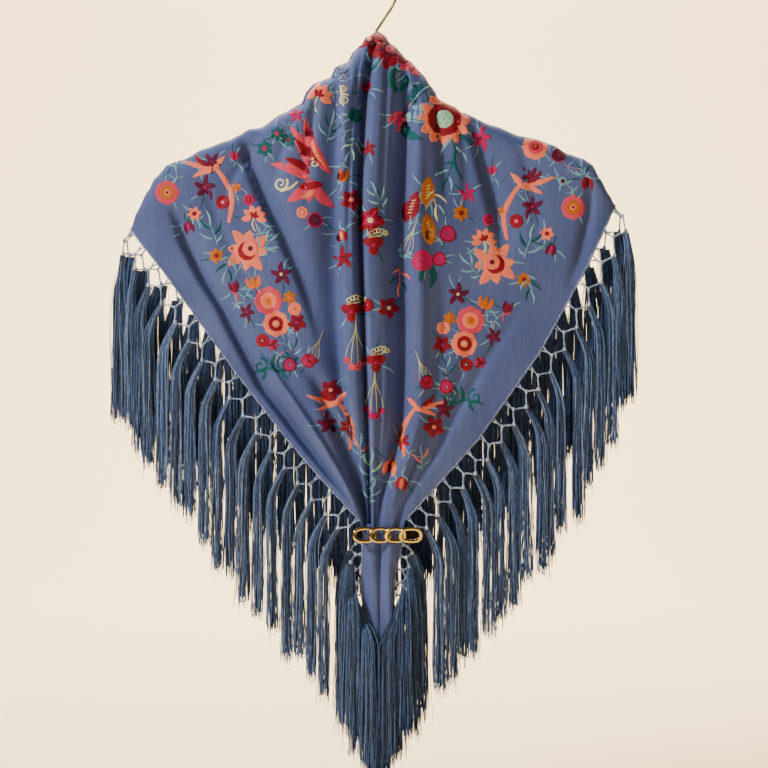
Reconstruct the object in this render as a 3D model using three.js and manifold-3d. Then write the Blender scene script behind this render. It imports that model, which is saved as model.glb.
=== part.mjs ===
// An embroidered square shawl with a knotted fringe, folded on its diagonal, hung round a wire
// coat hanger as round shoulders and drawn together at the front by a chain-link scarf clip.
//
// Millimetres. X runs to the right as one faces the shawl, Y from its front to its back, Z up.
// The origin is the highest point inside the hook, where a rail or nail carries it.
import * as THREE from "three";
import { mergeVertices } from "three/addons/utils/BufferGeometryUtils.js";
import Module from "manifold-3d";

const wasm = await Module();
wasm.setup();

// ---------------------------------------------------------------- driving sizes

const WALL = 1.6; // the cloth: two plies of crepe with their embroidery
const GAP = 0.3; // kept between neighbouring pieces
const CLIP_Z = -558; // middle of the scarf clip, where the cloth is drawn together

const WIRE_RADIUS = 1.4; // hanger wire
const SLEEVE_RADIUS = 2.66; // where its two ends are twisted together below the hook
const HOOK_RADIUS = 21; // inside of the hook
const HOOK_SWEEP = { from: -0.25, to: 3.6 }; // of the hook round its middle, in radians
const HANGER_APEX = -126; // where the two shoulder wires meet
const HANGER_REACH = 200; // from the middle to where each shoulder wire starts to bend back
const HANGER_FALL = { left: 0.44, right: 0.41 }; // drop of a shoulder wire for each mm outwards
const HANGER_BEND = 6; // bend at each end
const NECK_X = -1.9; // where the hook leaves the cloth
const NECK_Z = -80;

const CLIP_CLEAR = 13; // from the middle of the clip to where the fringe starts
const EDGE_CORD = 2.2; // the cord that the fringe is knotted on, square
const EDGE_GAP = 0.9; // from the rim of the cloth to that cord, which runs straight in each cell
const KNOT_OUT = 10.5; // first row of knots, out from the edge
const HEAD_OUT = 18; // tassel heads, out from the edge
const TASSEL = 150; // from head to tip
const TASSEL_LEAN = 12; // how far a tassel swings outwards before it hangs straight
const TASSEL_BEND = 34; // length of that swing
const HEAD = { halfWidth: 2.8, rise: 2, drop: 2.4 }; // of a tassel's head, round its middle
const KNOT = { halfWidth: 1.1, rise: 0.5, drop: 1.3 }; // of a knot, round its middle
const LOCKS = 3; // locks of thread in each tassel
const LOCK_GAP = 0.55; // between the locks, where they begin at the head
const LOCK_STAGGER = 1; // of every other lock, forwards and back
const STEM_ROOT = 1.9; // half-width of a stem of the net at the edge cord
const END_STEM = 0.16; // where the outermost stems stand in their cells
const NET_SAG = 3; // how far the net sinks under its tassels
const FRONT_TASSELS = 17;
const BACK_TASSELS = 15;
const END_TASSELS = 6;
const END_NET_SCALE = 0.62; // of the net on the two ends
const END_TASSEL_X = { left: [-32, -5], right: [41, 9] }; // of the outermost and the innermost
const END_TASSEL_Y = { even: -8, odd: -29 };

const COLOURS = {
  cloth: 0x666f9f,
  fringe: 0x6a80a6,
  gold: 0xd8b25a,
  wire: 0xb9a984,
};

// ---------------------------------------------------------------- sheets and curves

const { exp, sqrt, sin, cos, min, max, abs, PI } = Math;
const lerp = (a, b, t) => a + (b - a) * t;
const bell = (u) => exp(-u * u);
const ease = (t) => {
  const c = min(max(t, 0), 1);
  return c * c * (3 - 2 * c);
};
const point = (x, y, z) => new THREE.Vector3(x, y, z);

// The rows on either side of a place in a table, and how far along it lies between them.
function bracket(rows, key, at) {
  const rising = rows[0][key] < rows.at(-1)[key];
  let i = 0;
  while (i < rows.length - 2 && rising === at > rows[i + 1][key]) i++;
  const t = (at - rows[i][key]) / (rows[i + 1][key] - rows[i][key]);
  return { i, t: min(max(t, 0), 1) };
}

// One column of a table at a place in another column, on a smooth curve through the rows.
function through(rows, key, column, at) {
  const { i, t } = bracket(rows, key, at);
  const value = (k) => rows[min(max(k, 0), rows.length - 1)][column];
  const [a, b, c, d] = [value(i - 1), value(i), value(i + 1), value(i + 2)];
  const [out, into] = [(c - a) / 2, (d - b) / 2];
  const t2 = t * t;
  const t3 = t2 * t;
  return (
    b * (2 * t3 - 3 * t2 + 1) + out * (t3 - 2 * t2 + t) + c * (3 * t2 - 2 * t3) + into * (t3 - t2)
  );
}

// A place on a line of {x, z} points, by its share of the line's length.
function along(line, share) {
  const steps = line.slice(1).map((p, i) => Math.hypot(p.x - line[i].x, p.z - line[i].z));
  const length = steps.reduce((a, b) => a + b, 0);
  let left = min(max(share, 0), 1) * length;
  for (let i = 0; i < steps.length; i++) {
    if (left <= steps[i] || i === steps.length - 1) {
      const t = min(left / steps[i], 1);
      return { x: lerp(line[i].x, line[i + 1].x, t), z: lerp(line[i].z, line[i + 1].z, t) };
    }
    left -= steps[i];
  }
}

// ---------------------------------------------------------------- outline of the hanging cloth

// The upper outline, from the left side point over the neck to the right side point. The close
// rows at the neck are the rolls of the gathered cloth, seen from their ends.
const TOP_EDGE = [
  { x: -236, z: -267 },
  { x: -230, z: -250 },
  { x: -220, z: -231 },
  { x: -212, z: -217 },
  { x: -199, z: -204 },
  { x: -185, z: -200 },
  { x: -166, z: -190 },
  { x: -142, z: -182 },
  { x: -131, z: -177 },
  { x: -122, z: -171 },
  { x: -111, z: -170 },
  { x: -88, z: -156 },
  { x: -70, z: -147 },
  { x: -64, z: -134 },
  { x: -57, z: -127 },
  { x: -42, z: -122 },
  { x: -37, z: -111 },
  { x: -26, z: -107 },
  { x: -22, z: -97 },
  { x: -15, z: -91 },
  { x: -10, z: -83 },
  { x: 1, z: -77.5 },
  { x: 7, z: -81 },
  { x: 14, z: -90 },
  { x: 30, z: -105 },
  { x: 44, z: -118 },
  { x: 54, z: -133 },
  { x: 60, z: -143 },
  { x: 71, z: -148 },
  { x: 84, z: -156 },
  { x: 111, z: -167.5 },
  { x: 139, z: -178 },
  { x: 150, z: -180 },
  { x: 168, z: -186 },
  { x: 183, z: -195 },
  { x: 197, z: -199 },
  { x: 206, z: -205 },
  { x: 214, z: -219 },
  { x: 222, z: -233 },
  { x: 228, z: -244 },
];
const SCALLOP = 0.6; // 0 joins the rows by straight lines, 1 by full steps

// Fringed edges, from the clip up to the side point in front, and from side to side behind.
const FRONT_HEM = {
  left: [
    { x: -12.5, z: CLIP_Z + 0.2 },
    { x: -15, z: -546 },
    { x: -50, z: -508 },
    { x: -85, z: -468 },
    { x: -135, z: -403 },
    { x: -203, z: -308 },
    { x: -236, z: -267 },
  ],
  right: [
    { x: 24, z: CLIP_Z + 0.2 },
    { x: 27, z: -544 },
    { x: 60, z: -508 },
    { x: 96, z: -468 },
    { x: 155, z: -385 },
    { x: 200, z: -304 },
    { x: 228, z: -244 },
  ],
};
const BACK_HEM = {
  left: [
    { x: 3, z: -461 },
    { x: -40, z: -428 },
    { x: -115, z: -370 },
    { x: -180, z: -317 },
    { x: -236, z: -267 },
  ],
  right: [
    { x: 3, z: -461 },
    { x: 42, z: -430 },
    { x: 115, z: -363 },
    { x: 180, z: -298 },
    { x: 228, z: -244 },
  ],
};

function topZ(x) {
  const { i, t } = bracket(TOP_EDGE, "x", x);
  return lerp(TOP_EDGE[i].z, TOP_EDGE[i + 1].z, lerp(t, ease(t), SCALLOP));
}
function hemZ(hem, x) {
  const rows = x < hem.left[0].x ? hem.left : hem.right;
  const { i, t } = bracket(rows, "x", x);
  return lerp(rows[i].z, rows[i + 1].z, t);
}

// ---------------------------------------------------------------- folds

// Each fold is a table of stations down its deepest line: how far it sinks below the cloth round
// it (deep, less than 0 for a ridge that stands proud), and its half-width.
const OPENING = [
  { z: -77, x: -1.9, deep: 0, wide: 5 },
  { z: -108, x: -2.4, deep: 8, wide: 6 },
  { z: -134, x: -2.9, deep: 13, wide: 7 },
  { z: -186, x: -10.5, deep: 15, wide: 8 },
  { z: -263, x: -15.4, deep: 15, wide: 8 },
  { z: -323, x: -13.7, deep: 14, wide: 8 },
  { z: -413, x: -10.5, deep: 13, wide: 7 },
  { z: -500, x: -8, deep: 10, wide: 6 },
  { z: -558, x: -6.3, deep: 7, wide: 4 },
];
const FRONT_FOLDS = [
  OPENING,
  [
    // between the centre roll and the right front
    { z: -100, x: 24, deep: 0, wide: 6 },
    { z: -136, x: 25.7, deep: 9, wide: 7 },
    { z: -212, x: 21.9, deep: 12, wide: 8 },
    { z: -279, x: 19, deep: 12, wide: 8 },
    { z: -336, x: 21.9, deep: 11, wide: 8 },
    { z: -383, x: 24.7, deep: 11, wide: 8 },
    { z: -450, x: 14.3, deep: 12, wide: 8 },
    { z: -516, x: 8.6, deep: 9, wide: 5 },
    { z: -558, x: 3.5, deep: 6, wide: 3.5 },
  ],
  [
    // between the centre roll and the left front, deepest above the clip
    { z: -112, x: -38, deep: 0, wide: 7 },
    { z: -141, x: -38, deep: 6, wide: 8 },
    { z: -240, x: -38, deep: 8, wide: 10 },
    { z: -336, x: -39, deep: 9, wide: 11 },
    { z: -430, x: -30.4, deep: 12, wide: 10 },
    { z: -507, x: -16.2, deep: 9, wide: 6 },
    { z: -558, x: -10, deep: 2, wide: 3 },
  ],
  [
    // long soft trough from the left shoulder in to the centre
    { z: -168, x: -136, deep: 0, wide: 12 },
    { z: -182, x: -128, deep: 3, wide: 12 },
    { z: -231, x: -104, deep: 6, wide: 14 },
    { z: -269, x: -74, deep: 6, wide: 14 },
    { z: -329, x: -51, deep: 5, wide: 12 },
    { z: -380, x: -42, deep: 0, wide: 10 },
  ],
  [
    // trough beside the plain border of the left front
    { z: -228, x: -199, deep: 0, wide: 8 },
    { z: -258, x: -191, deep: 4, wide: 9 },
    { z: -342, x: -148, deep: 6, wide: 10 },
    { z: -419, x: -106, deep: 6, wide: 10 },
    { z: -461, x: -73, deep: 6, wide: 9 },
    { z: -495, x: -50, deep: 5, wide: 7 },
    { z: -540, x: -16, deep: 0, wide: 5 },
  ],
  [
    // rolled edge of that border, standing proud towards the clip
    { z: -395, x: -104, deep: 0, wide: 8 },
    { z: -420, x: -86, deep: -3, wide: 7 },
    { z: -444, x: -66, deep: -5, wide: 7 },
    { z: -495, x: -34, deep: -6, wide: 6 },
    { z: -552, x: -11, deep: 0, wide: 3 },
  ],
  [
    // roll along the inner edge of the right front
    { z: -128, x: 40, deep: 0, wide: 9 },
    { z: -220, x: 38, deep: -4, wide: 10 },
    { z: -340, x: 40, deep: -4, wide: 11 },
    { z: -450, x: 32, deep: -4, wide: 9 },
    { z: -530, x: 18, deep: -2, wide: 5 },
    { z: -558, x: 14, deep: 0, wide: 4 },
  ],
  [
    // below the right shoulder
    { z: -160, x: 94, deep: 0, wide: 12 },
    { z: -182, x: 97, deep: 4, wide: 13 },
    { z: -240, x: 107, deep: 5, wide: 15 },
    { z: -305, x: 112, deep: 0, wide: 15 },
  ],
  [
    // where the cloth falls off the right end of the hanger
    { z: -212, x: 200, deep: 0, wide: 8 },
    { z: -240, x: 203, deep: 4, wide: 10 },
    { z: -290, x: 194, deep: 3, wide: 12 },
    { z: -335, x: 182, deep: 0, wide: 12 },
  ],
  [
    // shallow trough inside the plain border of the right front
    { z: -330, x: 140, deep: 0, wide: 14 },
    { z: -400, x: 100, deep: 3, wide: 14 },
    { z: -470, x: 62, deep: 3, wide: 12 },
    { z: -535, x: 26, deep: 0, wide: 6 },
  ],
  [
    // gathers at the neck, left and right
    { z: -132, x: -56, deep: 0, wide: 6 },
    { z: -160, x: -60, deep: 4, wide: 8 },
    { z: -210, x: -68, deep: 3, wide: 10 },
    { z: -262, x: -64, deep: 0, wide: 10 },
  ],
  [
    { z: -125, x: 50, deep: 0, wide: 5 },
    { z: -150, x: 54, deep: 4, wide: 7 },
    { z: -200, x: 61, deep: 4, wide: 9 },
    { z: -258, x: 66, deep: 0, wide: 10 },
  ],
];
const BACK_FOLDS = [
  [
    // the middle of the back sinks between two broad rolls
    { z: -95, x: 2, deep: 0, wide: 8 },
    { z: -150, x: 4, deep: 7, wide: 10 },
    { z: -260, x: 7, deep: 6, wide: 13 },
    { z: -380, x: 5, deep: 3, wide: 16 },
    { z: -455, x: 3, deep: 0, wide: 16 },
  ],
  [
    { z: -120, x: -34, deep: 0, wide: 8 },
    { z: -165, x: -40, deep: 6, wide: 10 },
    { z: -260, x: -52, deep: 5, wide: 13 },
    { z: -370, x: -68, deep: 0, wide: 16 },
  ],
  [
    { z: -120, x: 38, deep: 0, wide: 8 },
    { z: -170, x: 44, deep: 6, wide: 10 },
    { z: -275, x: 60, deep: 5, wide: 13 },
    { z: -385, x: 76, deep: 0, wide: 16 },
  ],
  [
    { z: -165, x: -86, deep: 0, wide: 12 },
    { z: -215, x: -98, deep: 4, wide: 14 },
    { z: -330, x: -126, deep: 0, wide: 18 },
  ],
  [
    { z: -165, x: 88, deep: 0, wide: 12 },
    { z: -225, x: 104, deep: 4, wide: 15 },
    { z: -335, x: 132, deep: 0, wide: 18 },
  ],
];

function foldDepth(folds, x, z) {
  let sum = 0;
  for (const rows of folds) {
    if (z > rows[0].z || z < rows.at(-1).z - 1) continue;
    const u = (x - through(rows, "z", "x", z)) / through(rows, "z", "wide", z);
    sum += through(rows, "z", "deep", z) * bell(u);
  }
  return sum;
}
const openingX = (z) => through(OPENING, "z", "x", z);

// ---------------------------------------------------------------- how far the cloth stands out

const SIDE_DEPTH = 10; // of the cloth off the hanger's plane, away from the middle
const MIDDLE_DEPTH = { front: 19, back: 12 }; // added in the middle, where the cloth is gathered
const MIDDLE_HALF_WIDTH = { front: 75, back: 70 };
const TURN = { shoulder: 16, neck: 40, neckHalfWidth: 40 }; // fall in which it turns over the top
const CLIP_SQUEEZE = { share: 0.26, from: -440, over: 115 }; // of its depth, lost at the clip
const FULL_HEIGHT = { depth: 80, folds: 60 }; // of cloth that has its full depth and its folds
const FOLD_START = 14; // fall in which the folds open out below the top edge
const SIDE_POINT = { depth: 2.2, height: 25 }; // where front and back come together flat
const EYELET = { depth: 1.9, halfWidth: 3.5 }; // room that the hook needs between front and back

// How far the cloth stands off the plane of the hanger at a place in front view.
function standOff(x, z, side) {
  const hem = side === "front" ? FRONT_HEM : BACK_HEM;
  const top = topZ(x);
  const height = max(top - hemZ(hem, x), 0.01);
  const turn = min(TURN.shoulder + TURN.neck * bell(x / TURN.neckHalfWidth), 0.45 * height);
  const fall = max(top - z, 0);
  const round = sqrt(1 - (1 - min(fall / turn, 1)) ** 2);
  const seam = GAP / 2 + SIDE_POINT.depth * exp(-height / SIDE_POINT.height);
  const edge = seam + EYELET.depth * bell((x - NECK_X) / EYELET.halfWidth);
  const { share, from, over } = CLIP_SQUEEZE;
  const squeeze = side === "front" ? 1 - share * ease((from - z) / over) : 1;
  const middle = MIDDLE_DEPTH[side] * bell(x / MIDDLE_HALF_WIDTH[side]);
  const flat = (SIDE_DEPTH + middle) * squeeze * min(1, sqrt(height / FULL_HEIGHT.depth));
  const folds = foldDepth(side === "front" ? FRONT_FOLDS : BACK_FOLDS, x, z);
  const opened = (1 - exp(-fall / FOLD_START)) * min(1, height / FULL_HEIGHT.folds);
  return edge + (flat - folds * opened) * round;
}

// ---------------------------------------------------------------- solids from points

function solidFrom(geometry) {
  const bare = new THREE.BufferGeometry();
  bare.setAttribute("position", geometry.getAttribute("position"));
  bare.setIndex(geometry.index);
  const merged = mergeVertices(bare, 1e-4);
  const kept = [];
  const index = merged.index.array;
  for (let i = 0; i < index.length; i += 3) {
    const [a, b, c] = [index[i], index[i + 1], index[i + 2]];
    if (a !== b && b !== c && a !== c) kept.push(a, b, c);
  }
  return new wasm.Manifold(
    new wasm.Mesh({
      numProp: 3,
      vertProperties: merged.attributes.position.array,
      triVerts: new Uint32Array(kept),
    }),
  );
}

function geometryOf(solid) {
  const mesh = solid.getMesh();
  const geometry = new THREE.BufferGeometry();
  geometry.setAttribute("position", new THREE.BufferAttribute(mesh.vertProperties, 3));
  geometry.setIndex(new THREE.BufferAttribute(mesh.triVerts, 1));
  geometry.computeVertexNormals();
  return geometry;
}

const fuse = (geometries) => geometryOf(wasm.Manifold.union(geometries.map(solidFrom)));

// A closed surface through rings of points; each ring has as many points, and flat ends close it.
function skin(rings, closedLoop = false) {
  const n = rings[0].length;
  const points = rings.flat();
  const index = [];
  const spans = closedLoop ? rings.length : rings.length - 1;
  for (let r = 0; r < spans; r++) {
    const [a, b] = [r * n, ((r + 1) % rings.length) * n];
    for (let k = 0; k < n; k++) {
      const m = (k + 1) % n;
      index.push(a + k, b + k, b + m, a + k, b + m, a + m);
    }
  }
  if (!closedLoop) {
    const last = (rings.length - 1) * n;
    for (let k = 1; k < n - 1; k++) index.push(0, k, k + 1, last, last + k + 1, last + k);
  }
  const geometry = new THREE.BufferGeometry().setFromPoints(points);
  geometry.setIndex(index);
  return facingOut(geometry);
}

// Turns a closed surface the right way round, by the sign of the volume inside it.
function facingOut(geometry) {
  const p = geometry.getAttribute("position");
  const index = geometry.index.array;
  const [a, b, c] = [point(), point(), point()];
  let volume = 0;
  for (let i = 0; i < index.length; i += 3) {
    a.fromBufferAttribute(p, index[i]);
    b.fromBufferAttribute(p, index[i + 1]);
    c.fromBufferAttribute(p, index[i + 2]);
    volume += a.dot(b.cross(c));
  }
  if (volume < 0)
    for (let i = 0; i < index.length; i += 3)
      [index[i + 1], index[i + 2]] = [index[i + 2], index[i + 1]];
  return geometry;
}

// A rod of a few sides along a path. Its sides are laid out from the Y axis, so it doesn't twist.
function rod(path, radius, sides, closedLoop = false) {
  const rings = path.map((p, i) => {
    const before = path[closedLoop ? (i + path.length - 1) % path.length : max(i - 1, 0)];
    const after = path[closedLoop ? (i + 1) % path.length : min(i + 1, path.length - 1)];
    const forward = after.clone().sub(before).normalize();
    const across = point(0, 1, 0).cross(forward).normalize();
    const up = forward.clone().cross(across);
    return Array.from({ length: sides }, (_, k) => {
      const a = (2 * PI * (k + 0.5)) / sides;
      return p
        .clone()
        .addScaledVector(across, radius * cos(a))
        .addScaledVector(up, radius * sin(a));
    });
  });
  return skin(rings, closedLoop);
}

// The cloth as a wall: a grid of outer points, and the same points moved in by the wall. A rim
// keeps to its own planes where their normals are given, so that pieces part along an even gap.
function wall(outer, rimNormals) {
  const [rows, columns] = [outer.length, outer[0].length];
  const at = (i, j) => outer[min(max(i, 0), rows - 1)][min(max(j, 0), columns - 1)];
  const normals = outer.map((row, i) =>
    row.map((_, j) => {
      const down = at(i + 1, j).clone().sub(at(i - 1, j));
      const across = at(i, j + 1).clone().sub(at(i, j - 1));
      return down.cross(across);
    }),
  );
  const middle = normals[rows >> 1][columns >> 1];
  const facing = outer[rows - 1][columns >> 1].y < 0 ? -1 : 1;
  const turn = middle.y * facing < 0 ? -1 : 1;
  for (const j of [0, columns - 1])
    if (outer[0][j].distanceTo(outer[rows - 1][j]) < 0.1)
      normals.forEach((row) => row[j].set(0, turn * facing, 0));
  const inner = outer.map((row, i) =>
    row.map((p, j) => {
      const normal = normals[i][j].clone().multiplyScalar(turn).normalize();
      for (const rim of rimNormals(i, j)) normal.addScaledVector(rim, -normal.dot(rim));
      normal.normalize();
      return p.clone().addScaledVector(normal, -WALL);
    }),
  );
  const points = [...outer.flat(), ...inner.flat()];
  const id = (layer, i, j) => layer * rows * columns + i * columns + j;
  const index = [];
  const quad = (a, b, c, d) => index.push(a, b, c, a, c, d);
  for (let i = 0; i < rows - 1; i++)
    for (let j = 0; j < columns - 1; j++) {
      quad(id(0, i, j), id(0, i + 1, j), id(0, i + 1, j + 1), id(0, i, j + 1));
      quad(id(1, i, j + 1), id(1, i + 1, j + 1), id(1, i + 1, j), id(1, i, j));
    }
  for (let j = 0; j < columns - 1; j++) {
    quad(id(0, 0, j + 1), id(1, 0, j + 1), id(1, 0, j), id(0, 0, j));
    quad(id(0, rows - 1, j), id(1, rows - 1, j), id(1, rows - 1, j + 1), id(0, rows - 1, j + 1));
  }
  for (let i = 0; i < rows - 1; i++) {
    quad(id(0, i, 0), id(1, i, 0), id(1, i + 1, 0), id(0, i + 1, 0));
    const j = columns - 1;
    quad(id(0, i + 1, j), id(1, i + 1, j), id(1, i, j), id(0, i, j));
  }
  const geometry = new THREE.BufferGeometry().setFromPoints(points);
  geometry.setIndex(index);
  const closed = geometryOf(solidFrom(facingOut(geometry)));
  const hem = outer[rows - 1].map((p, j) => ({ outer: p, inner: inner[rows - 1][j] }));
  return { geometry: closed, hem };
}

// ---------------------------------------------------------------- the cloth

const TURN_ROWS = 4; // rows of the grid over the turned top edge
const FRONT_GRID = { columns: 25, rows: 12 };
const BACK_GRID = { columns: 34, rows: 8 };
const HALF_OPENING = 0.2; // from the opening's line to the edge of each front
const UNDER_CLIP = { left: 0.06, right: 0.16 }; // share of a front that ends under the clip
const CLOSER_COLUMNS = 1.3; // above 1 brings a front's columns closer towards the opening

const topLine = (from, to) =>
  Array.from({ length: 161 }, (_, i) => {
    const x = lerp(from, to, i / 160);
    return { x, z: topZ(x) };
  });

// Heights of the grid's rows: close together where the cloth turns over, even below that.
function rowShares(rows, turnShare) {
  const over = Array.from({ length: TURN_ROWS }, (_, i) => {
    return turnShare * (1 - cos((PI / 2) * (i / TURN_ROWS)));
  });
  const below = Array.from({ length: rows + 1 }, (_, i) => lerp(turnShare, 1, i / rows));
  return [...over, ...below];
}

// A stretch of cloth between its top outline and its lower edge, both given by a share s.
function stretch(top, bottom, shares, rows, side, shift = () => 0) {
  const columns = shares.map((s) => {
    const [a, b] = [top(s), bottom(s)];
    const height = max(a.z - b.z, 0.01);
    const turn = min(TURN.shoulder + TURN.neck * bell(a.x / TURN.neckHalfWidth), 0.45 * height);
    return rowShares(rows, turn / height).map((t) => {
      const z = lerp(a.z, b.z, t);
      const x = lerp(a.x, b.x, t) + shift(s, z, t);
      const y = standOff(x, t === 0 ? a.z : z, side);
      return point(x, side === "front" ? -y : y, z);
    });
  });
  return columns[0].map((_, i) => columns.map((column) => column[i]));
}

// The part of a line that lies farther from its first point than a height.
function beyond(line, z) {
  const i = line.findIndex((p, k) => k > 0 && (p.z - z) * (line[0].z - z) < 0);
  const t = (z - line[i - 1].z) / (line[i].z - line[i - 1].z);
  return [line[i - 1].clone().lerp(line[i], t), ...line.slice(i)];
}

// The line of the edge cord: beside the rim of the cloth, in the cloth's own plane.
function edgeBeside(hem, away) {
  const middles = hem.map(({ outer, inner }) => outer.clone().lerp(inner, 0.5));
  return middles.map((p, i) => {
    const before = middles[max(i - 1, 0)];
    const after = middles[min(i + 1, hem.length - 1)];
    const run = after.clone().sub(before);
    const out = point(abs(run.z) * away, 0, -abs(run.x)).normalize();
    const rim = abs(hem[i].outer.clone().sub(hem[i].inner).dot(out)) / 2;
    return p.clone().addScaledVector(out, rim + EDGE_GAP + EDGE_CORD / 2);
  });
}

// Each front runs from the opening out to its side point. Its first columns end on the short
// edge under the clip, the others on the fringed edge.
function front(hand) {
  const away = hand === "left" ? -1 : 1;
  const hem = FRONT_HEM[hand];
  const openingEdge = (z) => openingX(z) + away * HALF_OPENING;
  const start = openingEdge(NECK_Z);
  const line = topLine(start, hem.at(-1).x);
  const foot = { x: openingEdge(CLIP_Z), z: hem[0].z };
  const underClip = UNDER_CLIP[hand];
  const top = (s) => along(line, s);
  const bottom = (s) =>
    s < underClip
      ? { x: lerp(foot.x, hem[0].x, s / underClip), z: foot.z }
      : along(hem, (s - underClip) / (1 - underClip));
  const shares = Array.from({ length: FRONT_GRID.columns + 1 }, (_, j) => {
    return (j / FRONT_GRID.columns) ** CLOSER_COLUMNS;
  });
  const corner = shares.reduce((best, s, j) => {
    return abs(s - underClip) < abs(shares[best] - underClip) ? j : best;
  }, 1);
  shares[corner] = underClip;
  const shift = (s, z, t) => (openingEdge(z) - lerp(start, foot.x, t)) * (1 - s) ** 3;
  const grid = stretch(top, bottom, shares, FRONT_GRID.rows, "front", shift);
  const last = grid.length - 1;
  const side = FRONT_GRID.columns;
  const made = wall(grid, (i, j) => [
    ...(i === 0 && j < side ? [point(0, 1, 0)] : []),
    ...(j === 0 ? [point(1, 0, 0)] : []),
    ...(i === last && j <= corner ? [point(0, 0, 1)] : []),
  ]);
  const beside = edgeBeside(made.hem.slice(corner), away);
  return { geometry: made.geometry, edge: beyond(beside, CLIP_Z + CLIP_CLEAR) };
}

// The back is one stretch from side point to side point, with the corner of the square below.
function back() {
  const { left, right } = BACK_HEM;
  const half = BACK_GRID.columns / 2;
  const peak = topLine(left.at(-1).x, NECK_X);
  const far = topLine(NECK_X, right.at(-1).x);
  const top = (s) => (s <= 0.5 ? along(peak, s * 2) : along(far, s * 2 - 1));
  const bottom = (s) =>
    s <= 0.5 ? along(left.toReversed(), s * 2) : along(right, s * 2 - 1);
  const shares = Array.from({ length: BACK_GRID.columns + 1 }, (_, j) => j / BACK_GRID.columns);
  const grid = stretch(top, bottom, shares, BACK_GRID.rows, "back");
  const made = wall(grid, (i, j) => {
    return i === 0 && j > 0 && j < BACK_GRID.columns ? [point(0, 1, 0)] : [];
  });
  return {
    geometry: made.geometry,
    edges: {
      left: edgeBeside(made.hem.slice(0, half + 1).toReversed(), -1),
      right: edgeBeside(made.hem.slice(half), 1),
    },
  };
}

// The two points of the shawl below the clip: each is a strip folded lengthwise, open behind.
const ENDS = {
  left: [
    { z: CLIP_Z - 0.2, x: -5.5, wide: 13, y: -16, deep: 6 },
    { z: -580, x: -5.5, wide: 13, y: -17, deep: 6 },
    { z: -605, x: -5.5, wide: 13, y: -17, deep: 6 },
    { z: -630, x: -5, wide: 12, y: -17, deep: 5.5 },
    { z: -652, x: -3.5, wide: 9, y: -17, deep: 4.5 },
    { z: -672, x: -1.5, wide: 5, y: -17, deep: 3 },
  ],
  right: [
    { z: CLIP_Z - 0.2, x: 12.5, wide: 19, y: -16, deep: 6 },
    { z: -576, x: 12.6, wide: 16, y: -17, deep: 6 },
    { z: -597, x: 10.2, wide: 12, y: -17, deep: 6 },
    { z: -617, x: 10.5, wide: 12, y: -17, deep: 5.5 },
    { z: -640, x: 12.5, wide: 13, y: -17, deep: 5.5 },
    { z: -664, x: 11.5, wide: 10, y: -17, deep: 4.5 },
    { z: -684, x: 9, wide: 5, y: -17, deep: 3 },
  ],
};
const END_WRAP = 1.75; // how far the strip curls round, in radians each way

function end(hand) {
  const around = 8;
  const grid = ENDS[hand].map((row) =>
    Array.from({ length: around + 1 }, (_, k) => {
      const a = lerp(-END_WRAP, END_WRAP, k / around);
      return point(row.x + (row.wide / 2) * sin(a), row.y - row.deep * cos(a), row.z);
    }),
  );
  const made = wall(grid, (i) => (i === 0 || i === grid.length - 1 ? [point(0, 0, 1)] : []));
  const outerColumn = hand === "left" ? 0 : around;
  const edge = grid.map((row) => row[outerColumn]);
  return { geometry: made.geometry, edge: beyond(edge, CLIP_Z - CLIP_CLEAR) };
}

// ---------------------------------------------------------------- the fringe

const unevenness = (i) => 0.03 * sin(2.4 * i) + 0.015 * sin(5.1 * i + 1); // of a tassel's length

// Where a tassel hangs below its head, and how far apart its locks have spread there.
const LOCK_STATIONS = [
  { fall: TASSEL_BEND / TASSEL, apart: 2.5, deep: 1.6 },
  { fall: 1, apart: 3.3, deep: 2.1 },
];

// One cell of the net's flat pattern, from stem to stem: its place along the edge (u, counted in
// cells) and out from the edge (v, in millimetres). A stem comes down from the edge cord to each
// first knot, and a cord runs from there to the tassel heads on either side, so that the gaps
// have six sides. The foot of a head is cut into locks. Corners marked cut start an edge that
// the next cell shares.
function netCell(i, count, pitch, scale) {
  const cord = EDGE_CORD / 2;
  const [knotOut, headOut] = [KNOT_OUT * scale, HEAD_OUT * scale];
  const wide = (mm) => mm / pitch;
  const [first, last] = [i === 0, i === count - 1];
  const [left, right] = [first ? END_STEM : i, last ? count - END_STEM : i + 1];
  const middle = (left + right) / 2;
  const lock = (2 * HEAD.halfWidth - (LOCKS - 1) * LOCK_GAP) / LOCKS;
  const foot = Array.from({ length: LOCKS }, (_, k) => LOCKS - 1 - k).flatMap((j) => {
    const near = j * (lock + LOCK_GAP) - HEAD.halfWidth;
    const v = headOut + HEAD.drop;
    return [
      { u: middle + wide(near + lock), v, lock: j },
      { u: middle + wide(near), v },
    ];
  });
  const outline = [
    { u: i, v: -cord },
    { u: i + 1, v: -cord, cut: !last },
    ...(last ? [{ u: count, v: cord }, { u: right + wide(STEM_ROOT), v: cord }] : []),
    { u: right, v: knotOut + KNOT.drop },
    ...foot,
    { u: left, v: knotOut + KNOT.drop, cut: !first },
    ...(first ? [{ u: left - wide(STEM_ROOT), v: cord }, { u: 0, v: cord }] : []),
  ];
  const hole = [
    { u: left + wide(STEM_ROOT), v: cord },
    { u: left + wide(KNOT.halfWidth), v: knotOut - KNOT.rise },
    { u: middle, v: headOut - HEAD.rise },
    { u: right - wide(KNOT.halfWidth), v: knotOut - KNOT.rise },
    { u: right - wide(STEM_ROOT), v: cord },
  ];
  return [outline, hole];
}

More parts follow.
